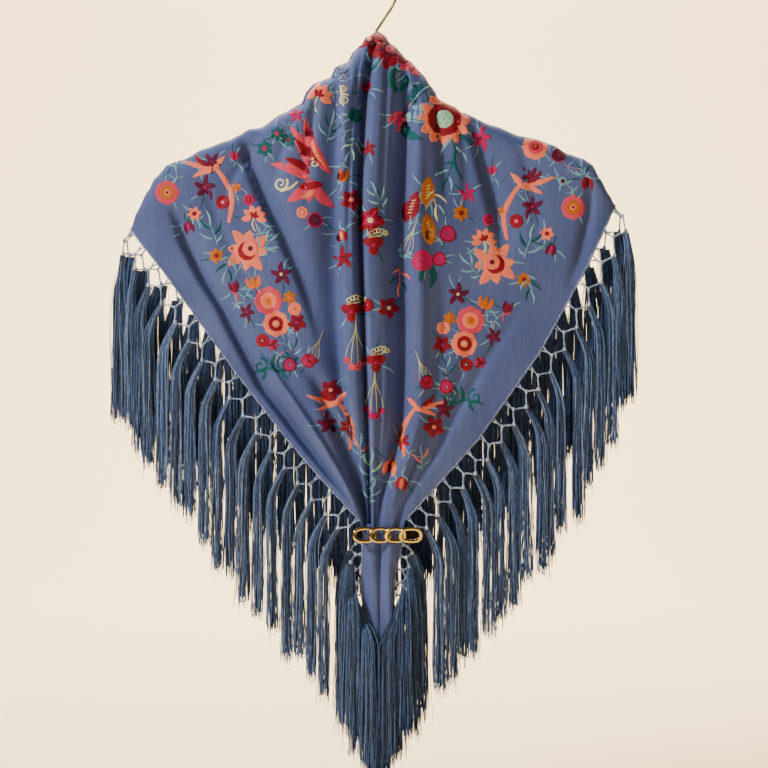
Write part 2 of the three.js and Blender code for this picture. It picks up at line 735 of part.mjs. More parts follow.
// A run of fringe on an edge line: the flat net laid along the edge and given its thickness,
// with each lock drawn down out of the foot of its tassel's head, in rings of four corners.
function fringe({ edge, away, count, hangAt, netY = () => 0, evenInX = true, scale = 1 }) {
  const measure = (p) => (evenInX ? p.x : -p.z);
  const [from, to] = [measure(edge[0]), measure(edge.at(-1))];
  const pitch = abs(to - from) / count;
  const laid = ({ u, v }, face) => {
    const wanted = lerp(from, to, min(max(u / count, 0.001), 0.999));
    const i = edge.findIndex(
      (p, k) => k < edge.length - 1 && (measure(p) - wanted) * (measure(edge[k + 1]) - wanted) <= 0,
    );
    const t = (wanted - measure(edge[i])) / (measure(edge[i + 1]) - measure(edge[i]));
    const run = edge[i + 1].clone().sub(edge[i]);
    const out = point(abs(run.z) * away, 0, -abs(run.x)).normalize();
    const share = min(max(v, 0) / HEAD_OUT, 1.2);
    return edge[i]
      .clone()
      .lerp(edge[i + 1], t)
      .addScaledVector(out, v)
      .add(point(0, netY(u) * share + (face * EDGE_CORD) / 2, -NET_SAG * scale * share));
  };
  const points = [];
  const index = [];
  const quad = (a, b, c, d) => index.push(a, b, c, a, c, d);
  const farSide = evenInX ? away : -away; // the way that x goes as u grows, once a lock hangs
  const drawLock = (foot, cell, j) => {
    const head = laid({ u: cell + 0.5, v: HEAD_OUT * scale }, 0);
    const hang = hangAt(head, cell);
    const length = TASSEL * (1 + unevenness(cell));
    const rings = LOCK_STATIONS.map(({ fall, apart, deep }) => {
      const x = hang.x + farSide * (j - (LOCKS - 1) / 2) * apart;
      const y = hang.y + (j % 2 ? -LOCK_STAGGER : LOCK_STAGGER);
      const centre = point(x, y, head.z - fall * length);
      const half = farSide * (apart / 2 - 0.25);
      const offsets = [point(half, -deep, 0), point(half, deep, 0)];
      const all = [...offsets, point(-half, deep, 0), point(-half, -deep, 0)];
      return all.map((o) => points.push(o.add(centre)) - 1);
    });
    [foot, ...rings].reduce((above, below) => {
      for (let k = 0; k < 4; k++) quad(above[k], above[(k + 1) % 4], below[(k + 1) % 4], below[k]);
      return below;
    });
    quad(...rings.at(-1));
  };
  for (let cell = 0; cell < count; cell++) {
    const rings = netCell(cell, count, pitch, scale);
    const [outline, hole] = rings.map((ring) =>
      ring.map(({ u, v }) => new THREE.Vector2(u * pitch, v)),
    );
    const corners = rings.flat();
    const n = corners.length;
    const start = points.length;
    points.push(...corners.map((c) => laid(c, -1)), ...corners.map((c) => laid(c, 1)));
    for (const face of THREE.ShapeUtils.triangulateShape(outline, [hole])) {
      const [a, b, c] = face.map((k) => start + k);
      index.push(a, b, c, c + n, b + n, a + n);
    }
    let first = start;
    for (const ring of rings) {
      ring.forEach(({ cut, lock }, k) => {
        if (cut) return;
        const [a, b] = [first + k, first + ((k + 1) % ring.length)];
        const foot = [a, a + n, b + n, b];
        if (lock === undefined) quad(...foot);
        else drawLock(foot, cell, lock);
      });
      first += ring.length;
    }
  }
  const geometry = new THREE.BufferGeometry().setFromPoints(points);
  geometry.setIndex(index);
  return geometryOf(solidFrom(facingOut(geometry)));
}

function frontFringe(edge, hand) {
  const away = hand === "left" ? -1 : 1;
  const hangAt = (head, i) => {
    const fromSide = FRONT_TASSELS - 1 - i;
    const lean = TASSEL_LEAN * min(1, 0.25 + 0.2 * fromSide);
    return { x: head.x + away * lean, y: head.y };
  };
  return fringe({ edge, away, count: FRONT_TASSELS, hangAt });
}

function backFringe(edge, hand) {
  const away = hand === "left" ? -1 : 1;
  const hangAt = (head) => ({ x: head.x + away * 0.35 * TASSEL_LEAN, y: head.y });
  return fringe({ edge, away, count: BACK_TASSELS, hangAt });
}

// The tassels of an end hang alternately behind and in front of the strip, out of each other's way.
function endFringe(edge, hand) {
  const away = hand === "left" ? -1 : 1;
  const [outermost, innermost] = END_TASSEL_X[hand];
  const beside = edge.map((p) => point(p.x - away * 0.4, p.y + WALL / 2 + GAP + EDGE_CORD / 2, p.z));
  const hangAt = (head, i) => ({
    x: lerp(outermost, innermost, i / (END_TASSELS - 1)),
    y: i % 2 ? END_TASSEL_Y.odd : END_TASSEL_Y.even,
  });
  return fringe({
    edge: beside,
    away,
    count: END_TASSELS,
    hangAt,
    netY: (u) => -1.5 + 4.5 * cos(PI * (u - 0.5)),
    evenInX: false,
    scale: END_NET_SCALE,
  });
}

// ---------------------------------------------------------------- the scarf clip

const CLIP = { y: -24.8, height: 15, wire: 1.5, tilt: 1.1 };
const LINK_STEPS = 14;
const LINK_SQUARENESS = 0.8; // 1 for an oval, less for a squarer link
const BAND = { inset: 1.6, thick: 1.6, height: 8, backY: -8.4, corner: 4, clear: 0.8 };
const LINKS = [
  { x: -11.5, halfLength: 9.6 },
  { x: 3, halfLength: 8.6 },
  { x: 17.4, halfLength: 8.6 },
  { x: 32, halfLength: 9.6 },
];

function clipChain() {
  const links = LINKS.map(({ x, halfLength }) => {
    const path = Array.from({ length: LINK_STEPS }, (_, i) => {
      const a = (2 * PI * (i + 0.5)) / LINK_STEPS;
      const round = (v) => Math.sign(v) * abs(v) ** LINK_SQUARENESS;
      const across = halfLength * round(cos(a));
      const up = (CLIP.height / 2 - CLIP.wire) * round(sin(a));
      return point(x + across, CLIP.y + (CLIP.tilt * across) / halfLength, CLIP_Z + up);
    });
    return rod(path, CLIP.wire, 5, true);
  });
  return fuse(links);
}

// The band runs behind the gathered cloth, with its ends turned forward to the outer links.
function clipBand() {
  const [first, last] = [LINKS[0], LINKS.at(-1)];
  const { inset, thick, height, backY, corner } = BAND;
  const left = first.x - first.halfLength + inset;
  const right = last.x + last.halfLength - inset;
  const clear = CLIP.wire + BAND.clear;
  const frontY = { left: CLIP.y - CLIP.tilt + clear, right: CLIP.y + CLIP.tilt + clear };
  const outline = new THREE.Shape();
  outline.moveTo(left, frontY.left);
  outline.lineTo(left, backY - corner);
  outline.quadraticCurveTo(left, backY, left + corner, backY);
  outline.lineTo(right - corner, backY);
  outline.quadraticCurveTo(right, backY, right, backY - corner);
  outline.lineTo(right, frontY.right);
  outline.lineTo(right - thick, frontY.right);
  outline.lineTo(right - thick, backY - corner);
  outline.quadraticCurveTo(right - thick, backY - thick, right - corner, backY - thick);
  outline.lineTo(left + corner, backY - thick);
  outline.quadraticCurveTo(left + thick, backY - thick, left + thick, backY - corner);
  outline.lineTo(left + thick, frontY.left);
  const band = new THREE.ExtrudeGeometry(outline, {
    depth: height,
    bevelEnabled: false,
    curveSegments: 4,
  });
  return geometryOf(solidFrom(band.translate(0, 0, CLIP_Z - height / 2)));
}

// ---------------------------------------------------------------- the hanger

// The shoulder wires and the bar are one loop; the hook's wire stands on its apex.
function hangerWire() {
  const shoulder = (hand, x) => HANGER_APEX - HANGER_FALL[hand] * abs(x);
  const loop = [point(0, 0, HANGER_APEX)];
  for (const hand of ["left", "right"]) {
    const away = hand === "left" ? -1 : 1;
    const slope = Math.atan(HANGER_FALL[hand]);
    const start = point(away * HANGER_REACH, 0, shoulder(hand, HANGER_REACH));
    const centre = start
      .clone()
      .add(point(-away * HANGER_BEND * sin(slope), 0, -HANGER_BEND * cos(slope)));
    const bend = Array.from({ length: 7 }, (_, i) => {
      const a = lerp(PI / 2 - slope, -PI / 2, i / 6);
      return centre.clone().add(point(away * HANGER_BEND * cos(a), 0, HANGER_BEND * sin(a)));
    });
    const rise = [0.5, 0.25].map((t) => point(start.x * t, 0, shoulder(hand, start.x * t)));
    const run = [...rise.toReversed(), ...bend];
    if (hand === "left") loop.push(...run);
    else loop.push(...run.toReversed());
  }
  const top = HOOK_RADIUS + WIRE_RADIUS;
  const hookCentre = point(0, 0, -HOOK_RADIUS);
  const arc = Array.from({ length: 15 }, (_, i) => {
    const a = lerp(HOOK_SWEEP.from, HOOK_SWEEP.to, i / 14);
    return hookCentre.clone().add(point(top * cos(a), 0, top * sin(a)));
  });
  const shank = [
    point(0, 0, HANGER_APEX - 0.6),
    point(NECK_X * 0.6, 0, -100),
    point(NECK_X, 0, NECK_Z - 4),
    point(NECK_X + 1.2, 0, NECK_Z + 3),
    point(15, 0, -53.5),
    point(19.5, 0, -43),
  ];
  const sleeve = [point(-0.3, 0, HANGER_APEX + 2), point(NECK_X * 0.6, 0, -101)];
  return fuse([
    rod(loop, WIRE_RADIUS, 6, true),
    rod([...shank, ...arc], WIRE_RADIUS, 8),
    rod(sleeve, SLEEVE_RADIUS, 8),
  ]);
}

// ---------------------------------------------------------------- the shawl put together

const finish = {
  cloth: { color: COLOURS.cloth, roughness: 0.75, metalness: 0, side: THREE.DoubleSide },
  fringe: { color: COLOURS.fringe, roughness: 0.6, metalness: 0 },
  gold: { color: COLOURS.gold, roughness: 0.22, metalness: 1 },
  wire: { color: COLOURS.wire, roughness: 0.35, metalness: 1 },
};

const shawl = new THREE.Group();
shawl.name = "shawl_on_hanger";

function add(name, geometry, look) {
  const mesh = new THREE.Mesh(geometry, new THREE.MeshStandardMaterial(look));
  mesh.name = name;
  shawl.add(mesh);
}

const behind = back();
add("back", behind.geometry, finish.cloth);
for (const hand of ["left", "right"]) {
  add("fringe_back_" + hand, backFringe(behind.edges[hand], hand), finish.fringe);
  const panel = front(hand);
  add("front_" + hand, panel.geometry, finish.cloth);
  add("fringe_front_" + hand, frontFringe(panel.edge, hand), finish.fringe);
  const tip = end(hand);
  add("tail_" + hand, tip.geometry, finish.cloth);
  add("fringe_tail_" + hand, endFringe(tip.edge, hand), finish.fringe);
}
add("clip_chain", clipChain(), finish.gold);
add("clip_band", clipBand(), finish.gold);
add("hanger_wire", hangerWire(), finish.wire);

export default shawl;
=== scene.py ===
"""An embroidered crepe shawl with a knotted fringe, folded on its diagonal, laid over a wire
hanger as over shoulders and drawn together in front by a chain-link scarf clip."""

import bmesh
import bpy
import numpy as np
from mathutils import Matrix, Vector


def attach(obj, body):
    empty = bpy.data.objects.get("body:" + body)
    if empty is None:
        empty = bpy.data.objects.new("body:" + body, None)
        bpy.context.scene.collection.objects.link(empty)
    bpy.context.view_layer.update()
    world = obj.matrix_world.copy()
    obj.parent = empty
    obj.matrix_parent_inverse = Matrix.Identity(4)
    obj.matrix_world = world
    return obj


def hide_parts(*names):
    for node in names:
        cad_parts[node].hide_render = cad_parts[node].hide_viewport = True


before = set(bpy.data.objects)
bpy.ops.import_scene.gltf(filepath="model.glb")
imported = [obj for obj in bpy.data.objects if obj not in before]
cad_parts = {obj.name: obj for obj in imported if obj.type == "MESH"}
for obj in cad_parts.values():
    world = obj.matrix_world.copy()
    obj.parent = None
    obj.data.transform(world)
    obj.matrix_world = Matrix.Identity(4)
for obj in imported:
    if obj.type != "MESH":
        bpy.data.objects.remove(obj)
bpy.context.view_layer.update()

# ---- The room: a sheet of pale paper that lies below the shawl and sweeps up far behind it, a
# soft light from the upper left, a wide weak one from the right, a large one that lights the
# paper, and a camera straight in front of the shawl.

MM = 0.001  # sizes below are in millimetres, meshes in metres
PAPER_FLOOR, PAPER_TOP = -860, 3200
PAPER_NEAR, PAPER_FAR = -5000, 3400
PAPER_HALF_WIDTH = 6000
PAPER_BEND = 1500  # radius in which it turns up
VIEW_CENTRE = (6.7, -415.3)  # x and z that the camera looks at
VIEW_PLANE = -15  # y of the shawl's front, where the picture is VIEW_WIDTH across
VIEW_WIDTH = 729.6
VIEW_DISTANCE = 1700
SENSOR = 36


def linear(hex_colour):
    """sRGB hex, such as #666f9f, to linear red, green, blue and 1."""
    srgb = np.array([int(hex_colour[i : i + 2], 16) for i in (1, 3, 5)]) / 255
    low, high = srgb / 12.92, ((srgb + 0.055) / 1.055) ** 2.4
    return (*np.where(srgb <= 0.04045, low, high), 1.0)


def new_material(name, sockets):
    """A material with one Principled shader, whose fixed values stand on its own sockets."""
    made = bpy.data.materials.new(name)
    made.use_nodes = True
    shader = made.node_tree.nodes["Principled BSDF"]
    for key, value in sockets.items():
        shader.inputs[key].default_value = value
    return made, made.node_tree, shader


def grid_faces(rows, columns, closed=False, ring=False):
    """Quads of a grid of points stored row by row. closed joins the last column to the first,
    and ring the last row to the first."""
    index = np.arange(rows * columns).reshape(rows, columns)
    if ring:
        index = np.vstack([index, index[:1]])
    if closed:
        index = np.hstack([index, index[:, :1]])
    a, b = index[:-1, :-1], index[:-1, 1:]
    c, d = index[1:, 1:], index[1:, :-1]
    return np.stack([a, b, c, d], -1).reshape(-1, 4)


def make_piece(name, material, points, faces, uv=None, tint=None):
    """A mesh object at the origin from points in millimetres, with smooth faces. uv and tint
    hold a row for each point: its place on the thread, and its colour."""
    mesh = bpy.data.meshes.new(name)
    mesh.from_pydata((np.asarray(points) * MM).tolist(), [], [tuple(f) for f in faces])
    mesh.shade_smooth()
    corner = np.empty(len(mesh.loops), dtype=np.int32)
    mesh.loops.foreach_get("vertex_index", corner)
    if uv is not None:
        layer = mesh.uv_layers.new(name="thread")
        layer.data.foreach_set("uv", np.asarray(uv)[corner].ravel())
    if tint is not None:
        layer = mesh.color_attributes.new("tint", "FLOAT_COLOR", "POINT")
        layer.data.foreach_set("color", np.asarray(tint, dtype=np.float32).ravel())
    mesh.materials.append(material)
    made = bpy.data.objects.new(name, mesh)
    bpy.context.scene.collection.objects.link(made)
    return made


def make_room():
    """A sheet of paper: level below the shawl, then up behind it in a quarter circle."""
    a = np.linspace(0, np.pi / 2, 17)
    bend_y = PAPER_FAR - PAPER_BEND + PAPER_BEND * np.sin(a)
    bend_z = PAPER_FLOOR + PAPER_BEND - PAPER_BEND * np.cos(a)
    x = np.linspace(-PAPER_HALF_WIDTH, PAPER_HALF_WIDTH, 3)
    y = np.concatenate([[PAPER_NEAR], bend_y, [PAPER_FAR]])
    z = np.concatenate([[PAPER_FLOOR], bend_z, [PAPER_TOP]])
    points = np.stack([np.tile(x, len(y)), np.repeat(y, 3), np.repeat(z, 3)], -1)
    paper, _, _ = new_material("pale_paper", {"Base Color": linear("#f3e3c2"), "Roughness": 0.95})
    make_piece("backdrop", paper, points, grid_faces(len(y), 3))


def add_light(name, place, aim, size, watts, colour):
    """A square area light at a place, turned to what it lights."""
    lamp = bpy.data.lights.new(name, "AREA")
    lamp.size = size * MM
    lamp.energy = watts
    lamp.color = linear(colour)[:3]
    made = bpy.data.objects.new(name, lamp)
    made.location = Vector(place) * MM
    made.rotation_euler = (Vector(aim) - Vector(place)).to_track_quat("-Z", "Y").to_euler()
    bpy.context.scene.collection.objects.link(made)


make_room()
middle = (VIEW_CENTRE[0], 0, VIEW_CENTRE[1])
add_light("key", (-1550, -1050, 800), middle, 420, 62, "#fffaf4")
add_light("fill", (1500, -1600, -100), middle, 1500, 1.6, "#eef3ff")
add_light("backdrop_light", (0, 1900, 2300), (0, 2700, -700), 2600, 540, "#ffedd0")

world = bpy.data.worlds.new("studio")
world.use_nodes = True
sky = world.node_tree.nodes["Background"]
sky.inputs["Color"].default_value = linear("#eef0f2")
sky.inputs["Strength"].default_value = 0.05
bpy.context.scene.world = world

camera = bpy.data.objects.new("camera", bpy.data.cameras.new("camera"))
camera.data.sensor_width = SENSOR
camera.data.lens = SENSOR * VIEW_DISTANCE / VIEW_WIDTH
camera.location = Vector((VIEW_CENTRE[0], VIEW_PLANE - VIEW_DISTANCE, VIEW_CENTRE[1])) * MM
camera.rotation_euler = (np.pi / 2, 0, 0)
bpy.context.scene.collection.objects.link(camera)
bpy.context.scene.camera = camera

# ---- The shawl: a square of dull blue-violet rayon crepe, folded on its diagonal, so that two
# plies hang together. It turns over the hanger's shoulders, and its fronts roll in at the middle
# and gather to the clip.

TOP_EDGE = np.array(  # x, z of the upper outline
    [(-236, -267), (-230, -250), (-220, -231), (-212, -217), (-199, -204), (-185, -200),
     (-166, -190), (-142, -182), (-131, -177), (-122, -171), (-111, -170), (-88, -156),
     (-70, -147), (-64, -134), (-57, -127), (-42, -122), (-37, -111), (-26, -107), (-22, -97),
     (-15, -91), (-10, -83), (1, -77.5), (7, -81), (14, -90), (30, -105), (44, -118),
     (54, -133), (60, -143), (71, -148), (84, -156), (111, -167.5), (139, -178), (150, -180),
     (168, -186), (183, -195), (197, -199), (206, -205), (214, -219), (222, -233), (228, -244)]
)  # fmt: skip
SCALLOP = 0.6  # 0 joins the rows by straight lines, 1 by full steps
HEMS = {  # x, z of each fringed edge, from the middle outwards
    ("front", "left"): np.array(
        [(-12.5, -557.8), (-15, -546), (-50, -508), (-85, -468), (-135, -403), (-203, -308),
         (-236, -267)]
    ),
    ("front", "right"): np.array(
        [(24, -557.8), (27, -544), (60, -508), (96, -468), (155, -385), (200, -304),
         (228, -244)]
    ),
    ("back", "left"): np.array(
        [(3, -461), (-40, -428), (-115, -370), (-180, -317), (-236, -267)]
    ),
    ("back", "right"): np.array(
        [(3, -461), (42, -430), (115, -363), (180, -298), (228, -244)]
    ),
}  # fmt: skip

# Each fold has a lean, from -1 for a steep left wall to 1 for a steep right one, and a table of
# stations down its deepest line: z, x, how far it sinks below the cloth round it (less than 0
# for a ridge), and its half-width.
OPENING = [(-77, -1.9, 0, 3.4), (-94, -3.4, 13, 4.6), (-110, -6.2, 19, 5.6), (-146, -11.5, 23, 6.4),
           (-193, -14.2, 24, 6), (-240, -15.8, 23, 5), (-335, -13.7, 21, 4.2),
           (-413, -11, 18, 4.2), (-500, -8, 14, 3.6), (-558, -6.3, 9, 2.6)]  # fmt: skip
FRONT_FOLDS = [
    (0.3, OPENING),
    # right of the centre roll, and left of it
    (0.6, [(-98, 26, 0, 6), (-130, 28, 13, 8), (-212, 26, 20, 10), (-279, 24, 21, 12),
           (-336, 25, 21, 13), (-391, 25, 21, 13), (-454, 23, 19, 11), (-485, 16, 16, 8),
           (-516, 7, 12, 5), (-540, 3, 8, 3.5), (-558, 3, 6, 3)]),
    (0.8, [(-104, -37, 0, 8), (-126, -37.5, 15, 11), (-200, -38, 19, 16), (-290, -39, 24, 19),
           (-380, -36, 22, 15), (-430, -30.4, 17, 9), (-507, -16.2, 10, 5), (-558, -10, 3, 3)]),
    # from the left shoulder in to the centre
    (-0.65, [(-171, -131, 0, 6), (-180, -129, 9, 8), (-231, -112, 11, 12), (-269, -92, 10, 14),
             (-329, -68, 7, 13), (-390, -52, 0, 11)]),
    # beside the plain border of the left front, and the rolled edge of that border
    (-0.6, [(-243, -197, 0, 7), (-262, -190, 7, 9), (-292, -178, 11, 10), (-342, -149, 10, 11),
            (-419, -110, 10, 12), (-461, -78, 12, 10), (-495, -51, 10, 7), (-540, -16, 0, 5)]),
    (0.5, [(-372, -122, 0, 7), (-400, -100, -5, 7), (-444, -70, -9, 7), (-485, -44, -9, 6),
           (-520, -25, -7, 4.5), (-552, -13, 0, 3)]),
    # the deep pocket between that roll and the opening
    (-0.5, [(-392, -66, 0, 7), (-422, -54, 11, 10), (-465, -38, 17, 10), (-500, -25, 16, 8),
            (-530, -15, 11, 5), (-556, -10.5, 0, 2.5)]),
    # roll along the inner edge of the right front
    (0, [(-128, 42, 0, 9), (-220, 40, -4, 10), (-340, 42, -5, 10), (-450, 40, -5, 8),
         (-500, 25, -4, 6), (-530, 15, -2, 5), (-558, 14, 0, 4)]),
    # below the right shoulder, and off the right end of the hanger
    (-0.65, [(-158, 88, 0, 6), (-172, 91, 10, 8), (-205, 99, 12, 11), (-248, 111, 10, 14),
             (-310, 122, 0, 15)]),
    (-0.3, [(-208, 200, 0, 6), (-236, 203, 6, 8), (-290, 194, 5, 10), (-335, 182, 0, 12)]),
    (0.3, [(-330, 140, 0, 14), (-400, 100, 4, 12), (-470, 62, 5, 10), (-535, 26, 0, 6)]),
    # gathers at the neck, left and right
    (0.3, [(-130, -56, 0, 5), (-152, -60, 6, 6), (-210, -68, 5, 9), (-262, -66, 0, 10)]),
    (-0.3, [(-122, 50, 0, 5), (-146, 54, 6, 6), (-200, 61, 6, 8), (-258, 66, 0, 10)]),
]  # fmt: skip
BACK_FOLDS = [
    (0, [(-95, 2, 0, 8), (-150, 4, 7, 10), (-260, 7, 6, 13), (-380, 5, 3, 16), (-455, 3, 0, 16)]),
    (0.3, [(-120, -34, 0, 8), (-165, -40, 7, 9), (-260, -52, 6, 12), (-370, -68, 0, 16)]),
    (-0.3, [(-120, 38, 0, 8), (-170, 44, 7, 9), (-275, 60, 6, 12), (-385, 76, 0, 16)]),
    (0.3, [(-165, -86, 0, 12), (-215, -98, 5, 13), (-330, -126, 0, 18)]),
    (-0.3, [(-165, 88, 0, 12), (-225, 104, 5, 14), (-335, 132, 0, 18)]),
]  # fmt: skip
# Smaller creases that the gathering leaves between the main folds.
FRONT_CREASES = [
    (0.4, [(-95, -15, 0, 3), (-120, -18, 4, 3.5), (-180, -25, 4.5, 4), (-260, -27, 3, 5),
           (-330, -27, 0, 6)]),
    (-0.3, [(-92, 8, 0, 3), (-118, 9, 4, 3.5), (-170, 7, 3.5, 4), (-250, 4, 2.4, 5),
            (-330, 6, 0, 5)]),
    (0, [(-350, 4, 0, 4), (-430, 3, 3.5, 4), (-505, 0, 4.5, 3), (-556, -1.5, 4, 2)]),
    (0, [(-118, 36, 0, 4), (-140, 36, 4, 4), (-190, 33, 3, 5), (-240, 31, 0, 5)]),
    (0.4, [(-138, -70, 0, 4), (-158, -78, 4, 5), (-200, -92, 3.5, 7), (-250, -104, 0, 9)]),
    (0.4, [(-165, -108, 0, 5), (-185, -118, 3.4, 6), (-225, -140, 2.6, 8), (-280, -160, 0, 10)]),
    (-0.4, [(-152, 74, 0, 5), (-172, 78, 3.6, 5), (-215, 84, 3, 8), (-270, 84, 0, 10)]),
    (-0.4, [(-172, 128, 0, 6), (-200, 140, 3, 8), (-250, 150, 2.4, 10), (-310, 150, 0, 12)]),
    (0.4, [(-290, -120, 0, 9), (-340, -100, 3, 8), (-400, -70, 3.4, 7), (-450, -48, 2, 5),
           (-500, -30, 0, 5)]),
    (-0.4, [(-300, 60, 0, 8), (-370, 62, 3, 8), (-440, 48, 3.4, 6), (-500, 32, 3, 4),
            (-556, 17, 2, 2.5)]),
    (-0.4, [(-330, 110, 0, 10), (-390, 84, 2.6, 8), (-450, 62, 2.8, 6), (-520, 30, 2, 3.5),
            (-556, 20, 1.4, 2.5)]),
    (0, [(-470, -36, 0, 4), (-510, -24, -2, 3.5), (-545, -13, -1.5, 2.5), (-557, -11, 0, 2)]),
    (0.3, [(-196, -170, 0, 6), (-236, -160, 2.4, 8), (-300, -132, 2.6, 9), (-360, -100, 0, 9)]),
    (-0.4, [(-440, 66, 0, 6), (-480, 46, -3, 5), (-530, 22, -2, 3), (-557, 15, 0, 2)]),
    (0, [(-90, -8, 0, 2.5), (-112, -10, 2.4, 2.5), (-160, -19, 2, 3), (-230, -22, 0, 4)]),
    (0, [(-100, 16, 0, 2.5), (-124, 18, 2.6, 3), (-180, 14, 2, 3.5), (-300, 11, 1.6, 4),
         (-400, 14, 2, 4), (-500, 4, 1.5, 2.5), (-556, 1, 0, 2)]),
]  # fmt: skip
BACK_CREASES = [
    (0.3, [(-140, -62, 0, 7), (-190, -72, 3, 7), (-270, -92, 2, 10), (-350, -112, 0, 13)]),
    (-0.3, [(-140, 64, 0, 7), (-195, 78, 2.8, 8), (-280, 96, 2, 11), (-350, 112, 0, 13)]),
    (0, [(-110, 18, 0, 5), (-160, 22, 3, 6), (-260, 30, 2, 9), (-360, 34, 0, 12)]),
    (0, [(-110, -14, 0, 5), (-165, -18, 3, 6), (-260, -24, 2, 9), (-350, -30, 0, 12)]),
]  # fmt: skip
FOLD_CORE = 0.45  # share of a fold's depth that lies in its narrow core
CORE_WIDTH = 0.45  # of that core, as a share of the fold's
LEAN_REACH = 3  # distance from a fold's line in which its lean sets in
FOLD_START = 14  # fall from the top edge in which the folds set in
SIDE_DEPTH = 10  # of the cloth off the hanger's plane, away from the middle
MIDDLE_DEPTH = {"front": 19, "back": 12}  # and how much deeper it is in the middle
MIDDLE_HALF_WIDTH = {"front": 75, "back": 70}
LEAST_DEPTH = 0.2  # that the cloth stands off everywhere
FULL_DEPTH_HEIGHT = 80  # where the cloth is less high than this, it stands off less
FULL_FOLD_HEIGHT = 60  # and where it is less high than this, its folds are shallower
PRESSED_FROM, PRESSED_OVER = -440, 115  # the clip flattens the fronts below a height, over a fall
PRESSED_BY = 0.26  # and by this share at the most
TURN = 16  # fall in which the cloth turns over the top edge
NECK_TURN, NECK_HALF_WIDTH = 40, 40  # more fall at the neck
MOST_TURN = 0.45  # and at most this share of the cloth's height
NECK_Z = -80  # where the opening starts
COLUMNS = 85  # of the grid on either side of the middle
COLUMN_POWER = 1.3  # above 1, the columns lie closer together in the middle
TURN_ROWS = 13  # over the turned top edge
ROWS_BELOW = {"front": 152, "back": 52}
UNDER_CLIP = {"left": 0.06, "right": 0.16}  # share of a front that ends under the clip
CLOTH_THICKNESS = 1.2


def ease(t):
    """Smooth step: 0 before 0, 1 after 1, level at both."""
    t = np.clip(t, 0, 1)
    return t * t * (3 - 2 * t)


def bell(u):
    """exp(-u squared)."""
    return np.exp(-u * u)


def table_curve(rows, column, at):
    """A column of a table at places in its first column: cubic pieces through the rows, whose
    slopes come from the rows on either side."""
    rows = np.array(rows, dtype=float)
    rows = rows[np.argsort(rows[:, 0])]
    keys, values = rows[:, 0], rows[:, column]
    i = np.clip(np.searchsorted(keys, at) - 1, 0, len(keys) - 2)
    t = np.clip((at - keys[i]) / (keys[i + 1] - keys[i]), 0, 1)
    a, b, c, d = (np.pad(values, 1, mode="edge")[i + k] for k in range(4))
    t2, t3 = t**2, t**3
    slopes = (c - a) / 2 * (t3 - 2 * t2 + t) + (d - b) / 2 * (t3 - t2)
    return b * (2 * t3 - 3 * t2 + 1) + c * (3 * t2 - 2 * t3) + slopes


def top_z(x):
    """Height of the upper outline, in steps softened by SCALLOP."""
    keys, values = TOP_EDGE.T
    i = np.clip(np.searchsorted(keys, x) - 1, 0, len(keys) - 2)
    t = np.clip((x - keys[i]) / (keys[i + 1] - keys[i]), 0, 1)
    return values[i] + (values[i + 1] - values[i]) * (t + SCALLOP * (ease(t) - t))


def hem_z(side, x):
    """Height of the fringed edge below a place."""
    rows = np.vstack([HEMS[side, "left"][::-1], HEMS[side, "right"]])
    return np.interp(x, rows[:, 0], rows[:, 1])


def fold_depth(folds, x, z):
    """Sum over the folds of depth times bell(u), u being the distance from the fold's line in
    half-widths; a part of the depth lies in a narrower core. A lean narrows one side and widens
    the other by up to that share."""
    total = np.zeros(np.broadcast(x, z).shape)
    for lean, rows in folds:
        off = x - table_curve(rows, 1, z)
        u = off / (table_curve(rows, 3, z) * (1 - lean * np.tanh(off / LEAN_REACH)))
        inside = (z <= rows[0][0]) & (z >= rows[-1][0] - 1)
        profile = (1 - FOLD_CORE) * bell(u) + FOLD_CORE * bell(u / CORE_WIDTH)
        total += np.where(inside, table_curve(rows, 2, z) * profile, 0)
    return total


def softness(x, z, side):
    """Shallow waves of cloth that hangs free: a few crossed sine waves, up to 0.6 mm."""
    phase = 0 if side == "front" else 2.1
    wide = np.sin(x / 23 + z / 61 + phase) * np.sin(z / 47 - x / 90 + 1.3 * phase)
    fine = np.sin(x / 9.1 + 1.4 * np.sin(z / 33) + phase) * np.sin(z / 29 + x / 40)
    return 0.45 * wide + 0.16 * fine


def turn_height(x, height):
    """The fall in which the cloth turns over the top: more at the neck."""
    return np.minimum(TURN + NECK_TURN * bell(x / NECK_HALF_WIDTH), MOST_TURN * height)


def stand_off(x, z, side):
    """How far the cloth stands off the hanger's plane: a quarter ellipse over the top edge, then
    a flat part that is deeper in the middle, less the folds."""
    top = top_z(x)
    height = np.maximum(top - hem_z(side, x), 0.01)
    fall = np.maximum(top - z, 0)
    round_over = np.sqrt(1 - (1 - np.minimum(fall / turn_height(x, height), 1)) ** 2)
    flat = SIDE_DEPTH + MIDDLE_DEPTH[side] * bell(x / MIDDLE_HALF_WIDTH[side])
    flat = flat * np.minimum(1, np.sqrt(height / FULL_DEPTH_HEIGHT))
    if side == "front":
        flat = flat * (1 - PRESSED_BY * ease((PRESSED_FROM - z) / PRESSED_OVER))
        folds = fold_depth(FRONT_FOLDS + FRONT_CREASES, x, z)
    else:
        folds = fold_depth(BACK_FOLDS + BACK_CREASES, x, z)
    folds = (folds + softness(x, z, side)) * (1 - np.exp(-fall / FOLD_START))
    folds = folds * np.minimum(1, height / FULL_FOLD_HEIGHT)
    return LEAST_DEPTH + (flat - folds) * round_over


def along(line, share):
    """Places on a line of x, z rows, by shares of its length."""
    run = np.concatenate([[0], np.cumsum(np.hypot(*np.diff(line, axis=0).T))])
    return np.stack([np.interp(share * run[-1], run, line[:, k]) for k in (0, 1)], -1)


